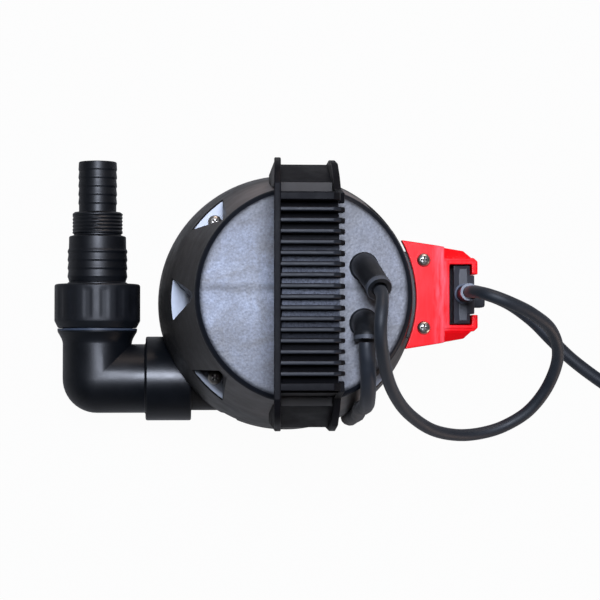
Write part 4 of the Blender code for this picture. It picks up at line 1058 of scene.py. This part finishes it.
# Pale scuffs lie along the fold between the plate and the channel
tree = rail_red.node_tree
shader = tree.nodes["Principled BSDF"]
place = put(tree, "ShaderNodeTexCoord").outputs["Object"]
drawn_out = put(tree, "ShaderNodeMapping", {"Scale": (1.0, 0.16, 1.0)}, {"Vector": place})
scuffs = put(tree, "ShaderNodeTexNoise", {"Scale": 1000 / 2.6, "Detail": 4.0, "Roughness": 0.6},
             {"Vector": drawn_out.outputs[0]})
scuffs = put(tree, "ShaderNodeMapRange", {"From Min": 0.35, "From Max": 0.75, "To Max": 0.5}, {"Value": scuffs.outputs["Fac"]})
spot = put(tree, "ShaderNodeSeparateXYZ", None, {0: place})
from_fold = put(tree, "ShaderNodeMath", {"operation": "SUBTRACT", 1: 86 * MM}, {0: spot.outputs["X"]})
from_fold = put(tree, "ShaderNodeMath", {"operation": "ABSOLUTE"}, {0: from_fold.outputs[0]})
near_fold = put(tree, "ShaderNodeMapRange", {"From Min": 1 * MM, "From Max": 6 * MM, "To Min": 1.0, "To Max": 0.1},
                {"Value": from_fold.outputs[0]})
on_top = put(tree, "ShaderNodeMapRange", {"From Min": 199 * MM, "From Max": 199.8 * MM}, {"Value": spot.outputs["Z"]})
for share in (near_fold, on_top):
    scuffs = put(tree, "ShaderNodeMath", {"operation": "MULTIPLY"}, {0: scuffs.outputs[0], 1: share.outputs[0]})
plain = shader.inputs["Base Color"].links[0].from_socket
tint = put(tree, "ShaderNodeMix", {"data_type": "RGBA", 7: linear("#f58a9a")}, {0: scuffs.outputs[0], 6: plain})
tree.links.new(tint.outputs[2], shader.inputs["Base Color"])
half = [(86.5, 22), (105.6, 22), (108, 19.8), (108, 12.1), (104.4, 12.1), (104.4, 18.1), (91, 18.1)]
rail = soften(slab("red_rail", around(half + [(x, -y) for x, y in reversed(half)]), RAIL_FOOT, RAIL_TOP - 0.6), 0.5)
back = []
for i in range(25):
    swing = math.radians(-25.5 + 54.6 * i / 24)
    back.append((71 * math.cos(swing), 71 * math.sin(swing)))
top = back + around([(84.3, 29.3), (88, 28.6), (88, 20.4), (107.4, 20.4), (107.4, 12.4), (104.4, 12.4)])
top += around([(104.4, 18.1), (91, 18.1), (91, -18.1), (104.4, -18.1), (104.4, -12.4), (107.4, -12.4)])
top += around([(107.4, -20.4), (88, -20.4), (88, -28.6), (84.3, -29.3)])
carve(rail, "UNION", soften(slab("rail_plate", top, 194.0, RAIL_TOP), 0.7))
for side in (-1, 1):
    slope = [(20.0, 199.2), (22.5, 198.6), (29, 192), (29, 186), (20.0, 180)]
    wing = slab("shoulder", [(RAIL_Y + y * side, z) for y, z in slope], 83, 104.4, "X")
    mask = slab("mask", around([(83, 10 * side), (83, 29.4 * side), (100, 26.3 * side), (104.2, 22 * side),
                                (104.2, 10 * side)]), 170, 210)
    carve(wing, "INTERSECT", mask)
    carve(rail, "UNION", soften(wing, 0.4))
stop_low, stop_high = RAIL_Y - 18.6, RAIL_Y + 18.6
carve(rail, "UNION", slab("stop", [(90, stop_low), (104.2, stop_low), (104.2, stop_high), (90, stop_high)],
                          RAIL_FOOT + 0.1, RAIL_FOOT + 4))
for x, y in RAIL_SCREWS:
    carve(rail, "DIFFERENCE", lathe("rail_hole", [(0, 203), (2.3, 203), (2.3, 190), (0, 190)], 24, (x, y, 0)))
dress(rail, rail_red, "pump", "red_plastic", "sensor_rail")
rail_screws = repeat(screw("rail_screws", 20, 4.0), set_in_row, Count=2, Pitch=(RAIL_SCREWS[0][1] - RAIL_SCREWS[1][1]) * MM,
                     Finish=zinc_plate)
middle = (RAIL_SCREWS[0][1] + RAIL_SCREWS[1][1]) / 2
rail_screws.data.transform(Matrix.Translation((RAIL_SCREWS[0][0] * MM, middle * MM, (RAIL_TOP + 0.3) * MM)))
dress(rail_screws, None, "pump", "steel", "rail_screw_1", "rail_screw_2")


# Level sensor
# A potted block of grey-black polyamide that slides in the rail. It has a hipped crown, a thumb tab at the mouth of the
# rail, a cord gland on top and two steel contacts below that feel the water.
sensor_grey = moulded("sensor_polyamide", "#2e2f33", "#3f4045", (0.3, 0.42), 1.3, 0.02, 7.0, 0.24)
half = [(91.6, 17.4), (103.7, 17.4), (103.7, 11.5), (106.4, 11.5)]
sensor = soften(slab("sensor_block", around(half + [(x, -y) for x, y in reversed(half)]), 148, 196.9), 0.5)
groove = slab("groove", around([(90, -20), (94.1, -20), (94.1, 20), (90, 20)]), 178, 200)
carve(sensor, "DIFFERENCE", groove)
half = [(94.0, 13), (94.7, 17.2), (103.6, 17.2), (103.65, 11.5), (106.2, 11.4)]
eaves = around(half + [(x, -y) for x, y in reversed(half)])
half = [(96.9, 11.6), (97.3, 15.4), (101.5, 15.4), (101.7, 11.5), (101.8, 11.2)]
ridge = around(half + [(x, -y) for x, y in reversed(half)])
crown = loft("crown", [[(x, y, z) for x, y in ring] for ring, z in ((eaves, 195.4), (eaves, 197.0), (ridge, 198.7))],
             capped=True)
carve(sensor, "UNION", soften(crown, 0.4))
tab = slab("tab", rounded([(105.5, -5.5), (114, -5.5), (114, 3.5), (105.5, 3.5)], 2.0), 180, 189)
carve(sensor, "UNION", soften(tab, 0.6))
for y in (-9, 9):
    hole = lathe("contact_hole", [(0, 154), (2.4, 154), (2.4, 140), (0, 140)], 24, (97.6, RAIL_Y + y, 0))
    carve(sensor, "DIFFERENCE", hole)
dress(sensor, sensor_grey, "sensor", "sensor_plastic", "level_sensor")
sensor.data.materials.append(rim_black)
for face in sensor.data.polygons:
    if face.center.x > 106.5 * MM:
        face.material_index = 1

gland_way = curved([(99.8, 2.5, 199.8), (99.7, 2.5, 206), (99.1, 2.55, 215), (98.3, 2.6, 224), (97.9, 2.6, 231)], 14)
swell = []
for spot in gland_way:
    foot_ring = 1.0 * min(1.0, max(0.0, (201.9 - spot.z) / 0.4))
    end_ring = 0.35 * min(1.0, max(0.0, (spot.z - 229.2) / 0.4))
    swell.append(4.7 + 0.4 * min(1.0, max(0.0, (210 - spot.z) / 8)) + foot_ring + end_ring)
gland = settle(swept("cord_gland", gland_way, swell, 48))
gland_rubber = moulded("gland_rubber", "#16171a", "#26282c", (0.34, 0.46), 1.2, 0.01, 6.0, 0.3)
dress(gland, gland_rubber, "sensor", "rubber", "sensor_gland")
# Its foot ring and end ring are painted blue-white as highlights on their edges
grommet_painted_highlight = moulded("grommet_painted_highlight", "#3a404c", "#5e6675", (0.3, 0.4), 1.2, 0.01, 5.0, 0.3)
gland.data.materials.append(grommet_painted_highlight)
for face in gland.data.polygons:
    if face.center.z < 202 * MM or face.center.z > 229.3 * MM:
        face.material_index = 1

contact = []
for y in (-9, 9):
    contact.append(settle(lathe("contact", [
        (0, 153.6), (2.0, 153.6), (2.0, 147.6), (3.2, 147.6), (3.2, 144.2), (2.9, 143.4), (2.2, 143), (0, 143),
    ], 32, (97.6, RAIL_Y + y, 0))))
for i, piece in enumerate(contact):
    piece.name = f"water_contact_{i + 1}"
    dress(piece, ground_steel, "sensor", "steel", f"sensor_contact_{i + 1}")


# Sensor cord
# A free loop of 7.2 mm rubber cord from the cap's boot to the sensor's gland. It leaves the boot upwards, sags round
# below the sensor and comes back to it, long enough to follow the sensor down the rail.
def cord_rubber(name, dark, light):
    """Chloroprene rubber: slate black and matt, with talc rubbed into it and the ripple of its extruding."""
    material = bpy.data.materials.new(name)
    material.use_nodes = True
    tree = material.node_tree
    shader = tree.nodes["Principled BSDF"]
    shader.inputs["IOR"].default_value = 1.52
    shader.inputs["Specular IOR Level"].default_value = 0.35
    shader.inputs["Sheen Weight"].default_value = 0.06
    place = put(tree, "ShaderNodeTexCoord").outputs["Object"]
    talc = put(tree, "ShaderNodeTexNoise", {"Scale": 1000 / 11.0, "Detail": 6.0, "Roughness": 0.65}, {"Vector": place})
    pores = put(tree, "ShaderNodeTexNoise", {"Scale": 1000 / 0.8, "Detail": 2.0}, {"Vector": place})
    tint = put(tree, "ShaderNodeMix", {"data_type": "RGBA", 6: linear(dark), 7: linear(light)}, {0: talc.outputs["Fac"]})
    rough = put(tree, "ShaderNodeMapRange", {"From Min": 0.3, "From Max": 0.7, "To Min": 0.46, "To Max": 0.62},
                {"Value": talc.outputs["Fac"]})
    skin = put(tree, "ShaderNodeBump", {"Strength": 1.0, "Distance": 0.03 * MM}, {"Height": pores.outputs["Fac"]})
    tree.links.new(tint.outputs[2], shader.inputs["Base Color"])
    tree.links.new(rough.outputs[0], shader.inputs["Roughness"])
    tree.links.new(skin.outputs[0], shader.inputs["Normal"])
    return material


SENSOR_CORD_R = 3.6
slate_cord = cord_rubber("slate_cord_rubber", "#14181d", "#20252b")
loop = [
    (39.2, 1.4, 290.8), (40.0, -1.6, 294.6), (39.0, -9, 301.5), (38.2, -19, 302.5), (39.6, -30, 296), (45.2, -47.3, 276),
    (53.6, -60.5, 256), (64.1, -70.1, 238), (77.8, -77.9, 222), (93.5, -81.3, 210), (108.7, -80.6, 203.5),
    (123.5, -76.3, 201.5), (138, -67, 203.5), (148.2, -52, 210.5), (151.8, -34.5, 222), (145.4, -19.8, 235),
    (132, -10.4, 247), (117.5, -4, 254), (106, 0.3, 253), (99.6, 2.3, 243), (97.8, 2.6, 231.5),
]
loop_line = curved(loop, 10)
sensor_cord = settle(swept("sensor_cord", loop_line, [SENSOR_CORD_R] * len(loop_line), 24))
sensor_cord.data.materials.append(slate_cord)
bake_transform(sensor_cord)
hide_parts("sensor_cable")


# Mains lead
# Ten metres of 9 mm rubber cord. It drops from its boot down the side of the pump, runs over the floor under the sensor
# and lies wound in a neat coil, tied, with its plug on top.
POWER_CORD_R = 4.5
COIL_CENTRE = Vector((333.0, 0.0, 0.0))
COIL_MEAN_R, COIL_STEP, COIL_TURNS, COIL_LAYERS = 81.0, 9.9, 4.5, 4
COIL_START = math.radians(230)
PER_TURN = 48
PLUG_R = 18.6
lead_black = cord_rubber("lead_rubber", "#171a1f", "#252a31")
outer_r = COIL_MEAN_R + COIL_STEP * COIL_TURNS / 2
wound = []
for i in range(int(COIL_TURNS * COIL_LAYERS * PER_TURN) + 1):
    turn = i / PER_TURN
    layer = min(int(turn / COIL_TURNS), COIL_LAYERS - 1)
    along = turn - layer * COIL_TURNS
    radius = outer_r - COIL_STEP * (along if layer % 2 == 0 else COIL_TURNS - along)
    rise = layer
    for k in range(1, COIL_LAYERS):
        near = turn - k * COIL_TURNS
        if abs(near) < 0.25:
            rise = k - 0.5 + 2 * near
    swing = COIL_START + 2 * math.pi * turn
    wound.append(COIL_CENTRE + Vector((radius * math.cos(swing), radius * math.sin(swing),
                                       POWER_CORD_R + 1.9 + rise * COIL_STEP)))
heading = (wound[1] - wound[0]).normalized()
lead = curved([
    (33.4, -27.2, 275.1), (33.4, -30.4, 275.1), (34.1, -38, 273.6), (35, -47.5, 268.7), (35.9, -56.5, 258.5),
    (36.6, -62, 245), (37, -64.4, 225), (37.5, -65.6, 200), (39, -67.6, 175), (40.8, -70.6, 150), (41.7, -72.2, 128),
    (42.5, -73.6, 105), (43.2, -75.1, 86), (43.9, -76.4, 68), (44.2, -76.6, 45), (45.2, -75.5, 34.6), (48.2, -72.8, 25),
    (52.9, -68.2, 16.7), (58.6, -61.9, 10.4), (64.9, -54.3, 6.4), (70.8, -45.6, 5), (78.1, -31.5, 5), (82.4, -19, 5),
    (90.7, -2.6, 5), (104.2, 7.6, 5), (121, 11.4, 5), (141, 9.4, 5), (160, 2.4, 5), (177, -9.5, 5), (190.5, -22.8, 5),
    (205, -36.8, 5), (224, -51.2, 5.2), (243, -63.6, 5.8),
    tuple(wound[0] - heading * 12), tuple(wound[0]),
], 8)
end = wound[-1]
spoke = end - COIL_CENTRE
start_swing, reach = math.atan2(spoke.y, spoke.x), Vector((spoke.x, spoke.y)).length
rest_z = end.z + POWER_CORD_R + PLUG_R + 0.4
climbing = []
for i in range(25):
    t = i / 24
    inward = max(0.0, (t - 0.4) / 0.6)
    radius = reach - 22 * inward * inward * (3 - 2 * inward)
    swing = start_swing + math.radians(4 + 56 * t)
    climb = t * t * (3 - 2 * t) * 0.5 + t * 0.5
    climbing.append(Vector((COIL_CENTRE.x + radius * math.cos(swing), COIL_CENTRE.y + radius * math.sin(swing),
                            end.z + (rest_z - end.z) * climb)))
coarse = [climbing[-3], climbing[-1]]
flat = Vector((coarse[1].x - coarse[0].x, coarse[1].y - coarse[0].y, 0)).normalized()
climbing.append(Vector((climbing[-1].x + flat.x * 10, climbing[-1].y + flat.y * 10, rest_z)))
lead_line = lead[:-1] + wound + climbing

curve = bpy.data.curves.new("mains_lead", "CURVE")
curve.dimensions = "3D"
curve.bevel_depth = POWER_CORD_R * MM
curve.bevel_resolution = 5
curve.use_fill_caps = True
spline = curve.splines.new("POLY")
spline.points.add(len(lead_line) - 1)
for point, spot in zip(spline.points, lead_line):
    point.co = (*(spot * MM), 1)
spline.use_smooth = True
mains_lead = bpy.data.objects.new("mains_lead", curve)
scene.collection.objects.link(mains_lead)
dress(mains_lead, lead_black, "pump", "rubber", "power_cable", "power_coil", "power_tail")

# Plug
# A moulded rubber plug with a ribbed neck and a flared grip, and two nickel-plated pins.
plug_foot = climbing[-1] + flat * 0.3
plug_line = [(0, 58), (PLUG_R - 2.2, 58), (PLUG_R - 0.8, 57.4), (PLUG_R, 56), (PLUG_R, 43), (17.4, 39.5), (15, 35),
             (12.2, 30.5), (9.9, 26.5), (9.2, 24)]
for i in range(5):
    low = 22.4 - 4.2 * i
    plug_line += [(8.9 - 0.45 * i, low), (8.8 - 0.45 * i, low - 1.9), (7.6 - 0.4 * i, low - 2.2), (7.5 - 0.4 * i, low - 3.6)]
plug_line += [(5.6, 0.4), (5.2, 0), (0, 0)]
plug = settle(lathe("moulded_plug", plug_line, 64, plug_foot, flat))
side = flat.cross(Vector((0, 0, 1)))
for shift in (-9.5, 9.5):
    hole = lathe("pin_hole", [(0, 62), (2.7, 62), (2.7, 49), (0, 49)], 24, plug_foot + side * shift, flat)
    carve(plug, "DIFFERENCE", hole)
dress(plug, boot_rubber, "pump", "rubber", "mains_plug")
nickel = metal_finish("nickel_plate", "#a39c90", "#d9d3c6", (0.15, 0.28), 1.5)
finish_nodes(nickel, "plug_pin_1", "plug_pin_2")

# Coil tie
# A strap of black rubber round one side of the coil.
tie_inner = COIL_MEAN_R - COIL_STEP * COIL_TURNS / 2 - POWER_CORD_R
tie_outer = outer_r + POWER_CORD_R
tie_top = POWER_CORD_R * 2 + 1.9 + COIL_STEP * (COIL_LAYERS - 1)
low_x, high_x = COIL_CENTRE.x + tie_inner - 1.2, COIL_CENTRE.x + tie_outer + 2.2
strap = slab("coil_strap", rounded([(low_x - 1.2, 0.3), (high_x + 1.2, 0.3), (high_x + 1.2, tie_top + 2.0),
                                    (low_x - 1.2, tie_top + 2.0)], 5.0), -9, 9, "Y")
carve(strap, "DIFFERENCE", slab("strap_hole", rounded([(low_x, 1.5), (high_x, 1.5), (high_x, tie_top + 0.8),
                                                       (low_x, tie_top + 0.8)], 4.0), -20, 20, "Y"))
dress(strap, boot_rubber, "pump", "rubber", "coil_tie")
